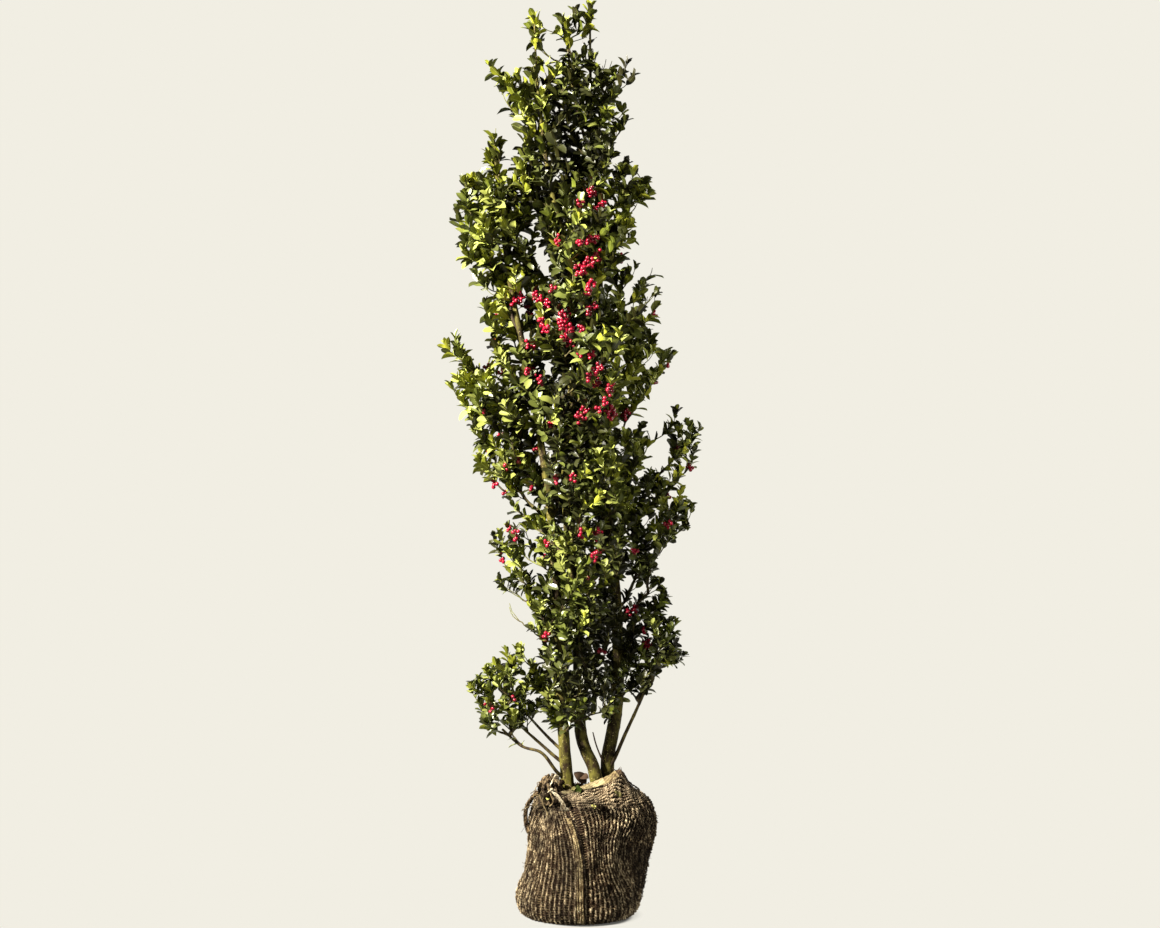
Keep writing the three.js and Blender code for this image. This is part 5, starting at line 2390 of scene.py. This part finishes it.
@dataclass
class Growth:
    """Grows twigs from the limbs into the masses by a seeded rule."""

    tip_spacing: float = 0.036
    tip_inset: float = 0.008
    volume_per_tip: float = 0.000104
    fewest_tips: int = 7
    tries_per_tip: int = 14
    hollow: float = 0.32
    least_length: float = 0.055
    lowest_joint: float = 0.36
    least_rise: float = 0.52
    most_rise: float = 0.93
    poor_place: float = 0.5
    steps: int = 12
    tip_radius: float = 0.0010
    pipe_power: float = 0.44

    def tips(self, masses: list[Mass]) -> tuple[np.ndarray, np.ndarray]:
        """Chooses where shoots end: spread points in every mass, at least a spacing apart, and the fills.

        Args:
            masses: the masses.

        Returns:
            Points and the index of each one's mass.
        """
        chosen = np.zeros((0, 3))
        owner: list[int] = []
        for index, mass in enumerate(masses):
            wanted = max(int(mass.volume / self.volume_per_tip), self.fewest_tips)
            spacing = min(self.tip_spacing, 0.8 * (mass.volume / wanted) ** (1 / 3))
            luck = own_luck(mass.middle, 1)
            drawn = mass.scatter(luck, wanted * self.tries_per_tip, self.tip_inset, self.hollow)
            drawn = drawn[~in_gap(drawn)]
            if mass.narrow:
                drawn = np.vstack([mass.end(), drawn])
                wanted = max(wanted // 2, 4)
            kept = 0
            for point in drawn:
                near = np.sum((chosen - point) ** 2, axis=1) < spacing**2
                if kept < wanted and not near.any():
                    chosen = np.vstack([chosen, point])
                    owner.append(index)
                    kept += 1
        middles = np.array([mass.middle for mass in masses])
        for fill in FILLS:
            luck = own_luck(fill.middle, 2)
            offset = unit(luck.normal(0, 1, (fill.shoots, 3))) * luck.random((fill.shoots, 1)) ** 0.33
            drawn = fill.middle + offset * fill.half
            chosen = np.vstack([chosen, drawn])
            owner += np.argmin(np.linalg.norm(drawn[:, None] - middles[None], axis=2), axis=1).tolist()
        return chosen, np.array(owner)

    def attach(self, tip: np.ndarray, points: np.ndarray) -> int:
        """The point of the network that a shoot to a tip best leaves from.

        The cost is the distance, times more where the way there rises too little or too straight, and
        more by half a metre where the way is too short or starts too low.

        Args:
            tip: the shoot's end.
            points: all points of the network.

        Returns:
            Index of the point with the least cost.
        """
        way = tip - points
        distance = np.linalg.norm(way, axis=1)
        rise = way[:, 2] / np.maximum(distance, 1e-9)
        flat, straight = np.maximum(self.least_rise - rise, 0), np.maximum(rise - self.most_rise, 0)
        cost = distance * (1 + 3.0 * flat + 8.0 * straight)
        cost += np.where(distance < self.least_length, self.poor_place, 0)
        cost += np.where(points[:, 2] < self.lowest_joint, self.poor_place, 0)
        return int(np.argmin(cost))

    def curve(self, foot: np.ndarray, heading: np.ndarray, tip: np.ndarray) -> np.ndarray:
        """A shoot's curve: a cubic Bezier that leaves its parent slantwise and ends upright.

        Args:
            foot: where it leaves its parent.
            heading: direction of the parent there.
            tip: where it ends.

        Returns:
            Its points, foot first.
        """
        rng = own_luck(tip, 3)
        length = np.linalg.norm(tip - foot)
        direction = (tip - foot) / length
        flat = unit(direction * np.array([1.0, 1.0, 0.0]) + 1e-6)
        leave = unit(0.55 * heading + 0.75 * direction + 0.35 * flat + rng.normal(0, 0.12, 3))
        arrive = unit(0.75 * UP + 0.55 * direction + rng.normal(0, 0.13, 3))
        t = np.linspace(0, 1, self.steps)[:, None]
        wobble = rng.normal(0, 0.012 * length, (self.steps, 3)) * (t * (1 - t)) * 2.5
        return bezier(foot, foot + leave * length * 0.36, tip - arrive * length * 0.38, tip, t) + wobble

    def grow(self, limbs: Limbs, masses: list[Mass]) -> list[Shoot]:
        """Grows a shoot to every tip, those near the limbs first, and each from the best place so far.

        Args:
            limbs: the stems and boughs.
            masses: the masses of leaves.

        Returns:
            The limbs' own shoots first, then the grown ones.
        """
        shoots = [Shoot(limb.path(0.02)[0], -1, 0, -1) for limb in limbs.stems + limbs.boughs]
        points = np.concatenate([s.points for s in shoots])
        shoot_of = np.concatenate([np.full(len(s.points), i) for i, s in enumerate(shoots)])
        place_of = np.concatenate([np.arange(len(s.points)) for s in shoots])
        heading = np.concatenate([unit(np.gradient(s.points, axis=0)) for s in shoots])
        tips, owner = self.tips(masses)
        first_fill = len(tips) - sum(fill.shoots for fill in FILLS)
        away = np.min(np.linalg.norm(tips[:, None] - points[None], axis=2), axis=1)
        for index in np.argsort(away):
            best = self.attach(tips[index], points)
            curve = self.curve(points[best], heading[best], tips[index])
            tuft = bool(index >= first_fill)
            shoots.append(Shoot(curve, int(shoot_of[best]), int(place_of[best]), int(owner[index]), tuft))
            points = np.vstack([points, curve[1:]])
            heading = np.vstack([heading, unit(np.gradient(curve, axis=0))[1:]])
            shoot_of = np.append(shoot_of, np.full(len(curve) - 1, len(shoots) - 1))
            place_of = np.append(place_of, np.arange(1, len(curve)))
        return shoots

    def thickness(self, shoots: list[Shoot], own: int) -> list[np.ndarray]:
        """Radii of the grown shoots: the tip's radius times a power of the tips carried above.

        Args:
            shoots: all shoots, parents before children.
            own: how many of the first shoots are limbs with radii of their own.

        Returns:
            The radii along each grown shoot.
        """
        carried = [np.zeros(len(s.points)) for s in shoots]
        radii: list[np.ndarray] = []
        for index in range(len(shoots) - 1, own - 1, -1):
            load = 1 + np.cumsum(carried[index][::-1])[::-1]
            carried[shoots[index].parent][shoots[index].joint] += load[0]
            radii.append(self.tip_radius * load**self.pipe_power * np.linspace(1.25, 0.8, len(load)))
        return radii[::-1]


@dataclass
class Twigs:
    """Bark tubes of the grown shoots, split into thin ones and thicker ones."""

    thick_from: float = 0.0021

    def build(self, shoots: list[Shoot], radii: list[np.ndarray]) -> None:
        """Builds the tubes.

        Args:
            shoots: the grown shoots.
            radii: radii along each.
        """
        path = np.stack([s.points for s in shoots])
        radius = np.stack(radii)
        thick = radius[:, 0] > self.thick_from
        light, dark = (0.12, 0.13, 0.024), (0.04, 0.03, 0.010)
        green = MottledFinish("twig bark", light, dark, (45, 300), 0.62, roughness=0.55, relief=0.0004)
        light, dark = (0.10, 0.085, 0.03), (0.028, 0.018, 0.010)
        brown = MottledFinish("branchlet bark", light, dark, (40, 260), 0.66, roughness=0.68, relief=0.0006)
        piece = tubes(path[~thick], radius[~thick], 5).place("twigs", green.make())
        piece = tubes(path[thick], radius[thick], 8).place("branchlets", brown.make())


# Leaves


@dataclass(frozen=True)
class LeafShape:
    """A small holly leaf: elliptic, pointed, with a few short teeth that lean forwards."""

    rows: tuple[float, ...] = (0.0, 0.09, 0.22, 0.36, 0.5, 0.64, 0.78, 0.9, 1.0)
    half_widths: tuple[float, ...] = (0.05, 0.38, 0.84, 0.95, 1.05, 1.0, 0.90, 0.58, 0.0)
    forward: tuple[float, ...] = (0.0, 0.0, 0.03, 0.0, 0.03, 0.0, 0.03, 0.0, 0.0)

    def flat(self) -> np.ndarray:
        """Grid of rows from stalk to tip and columns from left edge over midrib to right edge.

        Returns:
            Coordinates (across, along) of shape (rows, 3, 2), along from 0 to 1, across from -1 to 1.
        """
        along = np.array(self.rows)
        width = np.array(self.half_widths)
        tooth = along + np.array(self.forward)
        side = np.stack([-width, 0 * width, width], 1)
        return np.stack([side, np.stack([tooth, along, tooth], 1)], -1)


@dataclass
class LeafBed:
    """Where leaves stand: foot, direction, upper side, size, tone, and the traits of each one's shape."""

    foot: np.ndarray
    direction: np.ndarray
    upper: np.ndarray
    length: np.ndarray
    tone: np.ndarray
    traits: np.ndarray

    @property
    def middle(self) -> np.ndarray:
        """Middle of each leaf."""
        return self.foot + self.direction * self.length[:, None] * 0.5

    def kept(self, keep: np.ndarray) -> "LeafBed":
        """The leaves of a choice.

        Args:
            keep: True for each leaf that stays, or the numbers of those that stay.

        Returns:
            A bed with those leaves.
        """
        return LeafBed(*[values[keep] for values in vars(self).values()])


LEAF_FINISHES = {
    Tone.DEEP: LeafFinish(
        "deep leaf",
        blade=(0.017, 0.0165, 0.003),
        shade=(0.010, 0.009, 0.002),
        midrib=(0.038, 0.042, 0.011),
        underside=(0.026, 0.028, 0.009),
        roughness=0.34,
        specular=0.28,
    ),
    Tone.DARK: LeafFinish(
        "dark leaf",
        blade=(0.042, 0.048, 0.007),
        shade=(0.024, 0.026, 0.005),
        midrib=(0.090, 0.108, 0.024),
        underside=(0.052, 0.060, 0.016),
        roughness=0.30,
        specular=0.42,
    ),
    Tone.MID: LeafFinish(
        "mid leaf",
        blade=(0.090, 0.108, 0.011),
        shade=(0.050, 0.062, 0.008),
        midrib=(0.17, 0.20, 0.04),
        underside=(0.095, 0.112, 0.024),
        roughness=0.33,
        specular=0.38,
    ),
    Tone.FRESH: LeafFinish(
        "fresh leaf",
        blade=(0.182, 0.196, 0.013),
        shade=(0.110, 0.126, 0.010),
        midrib=(0.32, 0.36, 0.08),
        underside=(0.165, 0.182, 0.040),
        roughness=0.5,
        specular=0.2,
    ),
    Tone.YOUNG: LeafFinish(
        "young leaf",
        blade=(0.325, 0.33, 0.032),
        shade=(0.215, 0.232, 0.022),
        midrib=(0.50, 0.50, 0.10),
        underside=(0.30, 0.34, 0.07),
        roughness=0.6,
        specular=0.12,
    ),
}
MASS_TONES = {"leaves_young": Tone.YOUNG, "leaves_mid": Tone.MID, "leaves_dark": Tone.DARK}
# How much each slot lifts a spray's level: partly the slot's own leaf tone, partly painted sunlight and
# shade.
TONE_AND_PAINTED_LIGHT_BY_SLOT = {"leaves_young": 0.20, "leaves_mid": 0.0, "leaves_dark": -0.22}


@dataclass
class Foliage:
    """Leaves along the shoots, in sprays of one tone."""

    shape: LeafShape = LeafShape()
    spacing: float = 0.0102
    leafy: tuple[float, float] = (0.11, 0.19)
    tuft_leafy: tuple[float, float] = (0.045, 0.075)
    stem_leafy: tuple[float, float] = (0.24, 0.24)
    size: tuple[float, float] = (0.030, 0.0415)
    aspect: float = 0.25
    traits: tuple[tuple[float, float], ...] = ((0.88, 1.14), (0.2, 0.85), (-0.06, 0.46), (-0.12, 0.12))
    leader_looseness: float = 1.7
    # Rows of tone chances, from sunniest to darkest: painted sunlight and shade.
    sunny_low: tuple[float, ...] = (0.05, 0.13, 0.44, 0.34, 0.04)
    sunny_high: tuple[float, ...] = (0.08, 0.17, 0.18, 0.29, 0.28)
    sunniest: tuple[float, ...] = (0.03, 0.09, 0.14, 0.36, 0.38)
    shady: tuple[float, ...] = (0.33, 0.34, 0.22, 0.10, 0.01)
    darkest: tuple[float, ...] = (0.80, 0.17, 0.03, 0.0, 0.0)
    # Share of leaves near a shoot's foot that drop a tone: older leaves, and painted shade inside the crown.
    foot_shade: float = 0.36
    most_faces: int = 90000
    heights: tuple[float, ...] = (0.45, 0.9, 1.3, 2.0)
    sizes: tuple[float, ...] = (0.78, 0.82, 0.95, 1.03)

    def tone_chances(self, slot: str, tip: np.ndarray) -> np.ndarray:
        """Chances of each tone for a spray: painted sunlight makes it brighter on the left and high up,
        painted shade darker on the right.

        A level of painted light falls from left to right and from front to back, and is raised or lowered by
        the mass's slot and by spots of painted light and shade in the crown. The chances are mixed by it from
        a dark row and a bright one, with a row for low down and one for high up; a level below 0 leads to the
        darkest row, and one above 1.1 to the sunniest.

        Args:
            slot: the mass's slot in the record.
            tip: the spray's end.

        Returns:
            Chances in the order of Tone.
        """
        lift = TONE_AND_PAINTED_LIGHT_BY_SLOT[slot] + sum(change * spot.nearness(tip) for spot, change in PAINTED_LIGHT_SPOTS)
        level = 0.64 - tip[0] / 0.58 - 0.9 * tip[1] + lift
        chances = np.array(self.sunny_low)
        for row, share in (
            (self.sunny_high, (tip[2] - 0.85) / 0.45),
            (self.shady, 1 - level),
            (self.darkest, -level / 0.7),
            (self.sunniest, (level - 1.1) / 0.9),
        ):
            chances = chances * (1 - smooth(share)) + np.array(row) * smooth(share)
        return chances / chances.sum()

    def along_shoot(
        self,
        shoot: Shoot,
        radius: np.ndarray,
        leafy: tuple[float, float],
        chances: np.ndarray,
        loose: float = 1.0,
    ) -> LeafBed:
        """Leaves along the last stretch of one shoot, in a spiral of 137.5 degree turns.

        Leaf k stands at the shoot's point, on the side that the spiral gives; it points along the shoot
        by the cosine of its slant and outwards by the sine, and the slant grows away from the tip.

        Args:
            shoot: the shoot.
            radius: radii along it.
            leafy: least and greatest length of the stretch with leaves, from the tip.
            chances: chances of the tones.
            loose: how much wider apart than usual the leaves stand.

        Returns:
            The leaves.
        """
        rng = own_luck(shoot.points[-1], 4)
        stretch = rng.uniform(*leafy)
        length = arc_lengths(shoot.points)
        scale = np.interp(shoot.points[-1, 2], self.heights, self.sizes)
        spacing = self.spacing * loose * (0.3 + 0.7 * scale)
        back = np.cumsum(rng.uniform(0.6, 1.3, 60) * spacing * np.linspace(0.62, 1.5, 60))
        back = np.append([0.0, 0.001, 0.003], back[back < min(stretch, length[-1] * 0.93)])
        count = len(back)
        at = length[-1] - back
        tangent = unit(between(at, length, unit(np.gradient(shoot.points, axis=0))))
        across = unit(np.cross(tangent, unit(rng.normal(0, 1, 3))))
        turn = np.arange(count) * GOLDEN_TURN + rng.normal(0, 0.25, count) + rng.uniform(0, 6.28)
        out = across * np.cos(turn)[:, None] + np.cross(tangent, across) * np.sin(turn)[:, None]
        share = np.clip(back / stretch, 0, 1)
        slant = np.radians(24 + 46 * np.sqrt(share) + rng.normal(0, 11, count))
        direction = unit(tangent * np.cos(slant)[:, None] + out * np.sin(slant)[:, None] + UP * 0.12)
        facing = tangent - direction * np.sum(direction * tangent, 1, keepdims=True)
        facing = unit(facing) + 0.30 * UP + rng.normal(0, 0.32, (count, 3))
        upper = unit(facing - direction * np.sum(direction * facing, 1, keepdims=True))
        grown = smooth((back + 0.012) / 0.045) * 0.42 + 0.58
        size = rng.uniform(*self.size, count) * scale * grown * (1 - 0.12 * share)
        tones = rng.choice(len(chances), 2, p=chances)
        first = rng.random(count) < 0.8 - 0.5 * share
        tone = np.where(first, tones[0], np.minimum(tones[1], 3))
        # Leaves near the foot drop a tone: older leaves there, and painted shade inside the crown.
        tone = np.maximum(tone - (rng.random(count) < self.foot_shade * share), 0)
        traits = rng.uniform(*np.array(self.traits).T, (count, 4))
        foot = between(at, length, shoot.points) + out * np.interp(at, length, radius)[:, None]
        return LeafBed(foot, direction, upper, size, tone, traits)

    def beds(
        self, shoots: list[Shoot], radii: list[np.ndarray], masses: list[Mass], limbs: Limbs
    ) -> LeafBed:
        """Leaves of all shoots, and of the leafy ends of the stems.

        Args:
            shoots: the grown shoots.
            radii: their radii.
            masses: the masses of leaves.
            limbs: the stems and boughs.

        Returns:
            All leaves in one bed.
        """
        parts: list[LeafBed] = []
        for shoot, radius in zip(shoots, radii):
            mass = masses[shoot.mass]
            chances = self.tone_chances(mass.slot, shoot.points[-1])
            loose = self.leader_looseness if mass.narrow else 1.0
            leafy = self.tuft_leafy if shoot.tuft else self.leafy
            parts.append(self.along_shoot(shoot, radius, leafy, chances, loose))
        for limb in limbs.stems + limbs.boughs[:1]:
            path, radius = limb.path(0.02)
            chances = self.tone_chances("leaves_young", path[-1])
            end = Shoot(path, -1, 0, -1)
            parts.append(self.along_shoot(end, radius, self.stem_leafy, chances, self.leader_looseness))
        columns = zip(*[vars(part).values() for part in parts])
        bed = LeafBed(*[np.concatenate(values) for values in columns])
        return bed.kept(~in_gap(bed.middle))

    def surface(self, bed: LeafBed) -> Surface:
        """All leaves of a bed as one surface.

        A leaf's grid point goes along its direction by length, across by width, and up its upper side by
        a fold that grows with the distance from the midrib, less a curl with the square of the distance
        from the stalk. Its stalk is the narrow first stretch.

        Args:
            bed: the leaves.

        Returns:
            The surface; u runs across a leaf and v along it.
        """
        across, along = np.moveaxis(self.shape.flat(), -1, 0)[:, None]
        length = bed.length[:, None, None]
        breadth, fold, curl, wave = np.moveaxis(bed.traits, 1, 0)[..., None, None]
        across = across * length * self.aspect * breadth
        lift = np.abs(across) * (fold + wave * np.sin(along * 9)) - curl * length * along**2
        side = np.cross(bed.upper, bed.direction)
        points = bed.foot[:, None, None] + (
            (along * length)[..., None] * bed.direction[:, None, None]
            + across[..., None] * side[:, None, None]
            + lift[..., None] * bed.upper[:, None, None]
        )
        rows, columns = points.shape[1:3]
        uv = grid_uv(rows, columns, False, np.array(self.shape.rows))
        return Surface.copies(points.reshape(len(points), -1, 3), grid_quads(rows, columns, False), uv)

    def build(self, bed: LeafBed, masses: list[Mass]) -> None:
        """Builds one piece or more for each tone; they stand for the masses of leaves.

        Args:
            bed: all leaves.
            masses: the masses that they stand for.
        """
        most = self.most_faces // (2 * (len(self.shape.rows) - 1))
        for index, tone in enumerate(Tone):
            mine = np.flatnonzero(bed.tone == index)
            material = LEAF_FINISHES[tone].make()
            for part, chosen in enumerate(np.array_split(mine, len(mine) // most + 1), 1):
                piece = self.surface(bed.kept(chosen)).place(f"leaves_{tone.value}_{part}", material)
                stands_for = [m.node for m in masses if MASS_TONES[m.slot] is tone]
                if stands_for and part == 1:
                    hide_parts(*stands_for)


# Berries


@dataclass(frozen=True)
class BerryZone:
    """A part of the crown's front with berries: middle and half size in millimetres, and counts."""

    x: float
    z: float
    half_x: float
    half_z: float
    clusters: int
    berries: int


FRONT_ZONES = tuple(
    BerryZone(*row)
    for row in (
        (14, 1600, 16, 40, 5, 8), (18, 1540, 24, 30, 5, 9), (8, 1700, 40, 8, 4, 8),
        (40, 1708, 8, 8, 1, 12), (-59, 1592, 8, 10, 2, 5), (-157, 1467, 12, 8, 2, 9),
        (-98, 1490, 18, 12, 3, 7), (-92, 1455, 12, 12, 2, 9), (-128, 1440, 6, 10, 2, 6),
        (-104, 1400, 14, 10, 3, 7), (-40, 1424, 8, 22, 4, 7), (-50, 1387, 10, 8, 2, 10),
        (34, 1466, 10, 24, 4, 7), (-8, 1390, 16, 8, 3, 8), (-24, 1358, 10, 8, 2, 8),
        (-115, 1355, 16, 6, 2, 4), (38, 1300, 12, 26, 4, 7), (44, 1252, 12, 14, 3, 6),
        (-5, 1324, 6, 6, 1, 5), (-112, 1295, 10, 12, 3, 7), (93, 1207, 12, 8, 3, 12),
        (-9, 1202, 8, 6, 2, 8), (42, 1222, 14, 6, 2, 5), (-223, 1195, 4, 4, 1, 3),
        (-80, 1172, 5, 5, 1, 4), (-150, 1067, 38, 45, 6, 3), (-46, 1042, 30, 6, 2, 4),
        (-163, 920, 22, 22, 3, 4), (-87, 901, 5, 5, 1, 6), (7, 931, 46, 8, 3, 4),
        (34, 868, 8, 10, 2, 6), (129, 866, 5, 5, 1, 6), (195, 937, 5, 5, 1, 5), (223, 1113, 5, 5, 1, 4),
        (12, 807, 5, 5, 1, 3), (118, 715, 12, 10, 2, 6), (162, 648, 8, 8, 2, 7), (146, 688, 5, 5, 1, 4),
        (52, 631, 5, 5, 1, 4), (-68, 660, 6, 20, 2, 4), (-195, 516, 44, 18, 3, 2),
    )
)


@dataclass
class Cluster:
    """A cluster of berries: where it sits, which way it faces, and how many berries it has."""

    place: np.ndarray
    facing: np.ndarray
    count: int


@dataclass
class Berries:
    """Clusters of small round berries on short stalks, on the twigs nearest the crown's surface."""

    diameter: float = 0.0092
    around: int = 9
    levels: int = 6
    back_clusters: int = 78
    stalk: float = 0.0060
    stalk_radius: float = 0.0005
    packing: float = 0.0052
    pushes: int = 24
    least_distance: float = 0.014
    view_depth: float = 0.09
    view_width: float = 0.007
    view_growth: float = 0.0009
    back_heights: Triple = (0.62, 1.3, 1.72)

    def clusters(self, rng: np.random.Generator, shoots: list[Shoot]) -> list[Cluster]:
        """Chooses the twig points that carry clusters.

        In a front zone each cluster takes the foremost twig point near a random place of the zone. Round
        the sides and the back it takes the outermost twig point near a random height and angle.

        Args:
            rng: source of random numbers.
            shoots: the grown shoots.

        Returns:
            The clusters.
        """
        points = np.concatenate([s.points[3:-1] for s in shoots])
        made: list[Cluster] = []
        for zone in FRONT_ZONES:
            for _ in range(zone.clusters):
                x = (zone.x + rng.uniform(-zone.half_x, zone.half_x)) * MM
                z = (zone.z + rng.uniform(-zone.half_z, zone.half_z)) * MM
                off = np.hypot(points[:, 0] - x, points[:, 2] - z)
                taken = np.zeros(len(points))
                for other in made[-14:]:
                    taken += 0.2 * (np.linalg.norm(points - other.place, axis=1) < self.least_distance)
                best = int(np.argmin(points[:, 1] + 6.0 * np.maximum(off - 0.008, 0) + taken))
                facing = unit(np.array([points[best, 0] * 0.8, -1.0, 0.15]))
                berries = max(2, int(zone.berries * rng.uniform(0.7, 1.3)))
                made.append(Cluster(points[best], facing, berries))
        for _ in range(self.back_clusters):
            turn = rng.uniform(0.25, np.pi - 0.25)
            z = rng.triangular(*self.back_heights)
            facing = np.array([np.cos(turn), np.sin(turn), 0.1])
            reach = points[:, :2] @ facing[:2]
            aside = np.abs(points[:, 0] * facing[1] - points[:, 1] * facing[0])
            cost = 4 * np.maximum(aside - 0.09, 0) + 5 * np.abs(points[:, 2] - z) - reach
            best = int(np.argmin(cost + rng.normal(0, 0.012, len(points))))
            made.append(Cluster(points[best], unit(facing), int(rng.integers(3, 8))))
        return made

    def thin(self, bed: LeafBed, clusters: list[Cluster]) -> LeafBed:
        """Takes away the leaves that lie right in front of a cluster.

        Args:
            bed: all leaves.
            clusters: the clusters.

        Returns:
            The leaves that stay.
        """
        middle = bed.middle
        keep = np.ones(len(middle), bool)
        for cluster in clusters:
            way = middle - cluster.place
            ahead = way @ cluster.facing
            aside = np.linalg.norm(way - ahead[:, None] * cluster.facing, axis=1)
            width = self.view_width + self.view_growth * cluster.count
            keep &= ~((ahead > 0.0) & (ahead < self.view_depth) & (aside < width))
        return bed.kept(keep)

    def packed(
        self, rng: np.random.Generator, cluster: Cluster
    ) -> tuple[np.ndarray, np.ndarray, np.ndarray]:
        """Berries of one cluster: they fill a ball before the twig, on the side that the cluster faces.

        They are pushed apart until none overlaps its neighbour by much.

        Args:
            rng: source of random numbers.
            cluster: the cluster.

        Returns:
            The berries' middles, their stalks' feet and their radii.
        """
        count = cluster.count
        size = self.diameter / 2 * rng.uniform(0.86, 1.12, count)
        way = unit(rng.normal(0, 1, (count, 3))) * np.array([1.0, 1.0, rng.uniform(1.0, 1.5)])
        reach = self.packing * count ** (1 / 3) * rng.random((count, 1)) ** (1 / 3)
        spot = cluster.place + cluster.facing * self.stalk + way * reach
        for _ in range(self.pushes):
            gap = spot[:, None] - spot[None]
            far = np.linalg.norm(gap, axis=2) + np.eye(count)
            over = np.maximum(0.88 * (size[:, None] + size[None]) - far, 0) * (1 - np.eye(count))
            spot = spot + np.sum(gap / far[..., None] * over[..., None], 1) * 0.3
        return spot, np.repeat((cluster.place + rng.normal(0, 0.0012, 3))[None], count, 0), size

    def build(self, rng: np.random.Generator, clusters: list[Cluster]) -> None:
        """Builds berries, each from its stalk's end to its dark tip, and their stalks.

        Args:
            rng: source of random numbers.
            clusters: the clusters.
        """
        packs = zip(*[self.packed(rng, cluster) for cluster in clusters])
        centre, root, size = (np.concatenate(values) for values in packs)
        axis = unit(centre - root)
        side = unit(np.cross(axis, unit(np.array([0.3, 0.5, 0.8]))))
        other = np.cross(axis, side)
        lift = np.linspace(-1, 1, self.levels + 1) * np.pi / 2
        lift[0], lift[-1] = -1.5, 1.5
        ball = globe(lift, self.around)
        quads = grid_quads(len(ball), self.around, True)
        v = np.concatenate([[0], np.linspace(0, 1, len(lift)), [1]])
        uv = grid_uv(len(ball), self.around, True, v)
        x, y, z = np.moveaxis(ball.reshape(-1, 3), -1, 0)[:, None, :, None]
        turned = x * side[:, None] + y * other[:, None] + z * axis[:, None]
        points = centre[:, None] + size[:, None, None] * turned
        piece = Surface.copies(points, quads, uv).place("berries", BerryFinish().make())
        t = np.linspace(0, 1, 5)[None, :, None]
        end = centre - axis * size[:, None] * 0.9
        sag = np.sin(np.pi * t) * 0.0012 * UP
        path = root[:, None] * (1 - t) + end[:, None] * t + sag
        light, dark = (0.20, 0.18, 0.05), (0.12, 0.05, 0.03)
        finish = MottledFinish("berry stalk", light, dark, (60, 300), roughness=0.6).make()
        piece = tubes(path, np.full(path.shape[:2], self.stalk_radius), 4).place("berry_stalks", finish)
        LOG.info("%d berries in %d clusters", len(centre), len(clusters))


def read_masses(frame: dict) -> list[Mass]:
    """The frame's masses of leaves, with their triangles.


    Returns:
        The masses, sorted by name.
    """
    slots = {s["node"]: s["material_slot"] for s in frame["record"]["subparts"]}
    masses = []
    for node in sorted(frame["nodes"]):
        if not slots[node].startswith("leaves_"):
            continue
        mesh = frame["nodes"][node].data
        mesh.calc_loop_triangles()
        corners = np.zeros(len(mesh.loop_triangles) * 3, np.int32)
        mesh.loop_triangles.foreach_get("vertices", corners)
        points = np.zeros(len(mesh.vertices) * 3, np.float32)
        mesh.vertices.foreach_get("co", points)
        triangles = points.reshape(-1, 3).astype(float)[corners].reshape(-1, 3, 3)
        masses.append(Mass(node, slots[node], triangles))
    return masses


def main() -> None:
    """Builds the scene in order and reports each piece."""
    logging.basicConfig(level=logging.INFO, format="%(message)s")
    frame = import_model()
    PhotoCamera().build()
    Studio().build()
    knit_luck, bunch_luck, flap_luck, loose_luck, berry_luck = (
        np.random.default_rng(SEED + k) for k in range(5)
    )
    shape = BallShape()
    Soil().build(shape)
    JuteKnit().build(shape, knit_luck)
    Hem().build(shape)
    Bunch().build(bunch_luck)
    Flap().build(flap_luck)
    LapBead().build(shape, flap_luck)
    LooseBits().build(shape, loose_luck)
    limbs = Limbs()
    limbs.build()
    masses = read_masses(frame)
    growth = Growth()
    shoots = growth.grow(limbs, masses)
    own = len(limbs.stems) + len(limbs.boughs)
    radii = growth.thickness(shoots, own)
    grown = shoots[own:]
    LOG.info("%d shoots", len(grown))
    Twigs().build(grown, radii)
    foliage = Foliage()
    bed = foliage.beds(grown, radii, masses, limbs)
    berries = Berries()
    clusters = berries.clusters(berry_luck, grown)
    bed = berries.thin(bed, clusters)
    berries.build(berry_luck, clusters)
    LOG.info("%d leaves", len(bed.length))
    foliage.build(bed, masses)


if __name__ == "__main__":
    main()
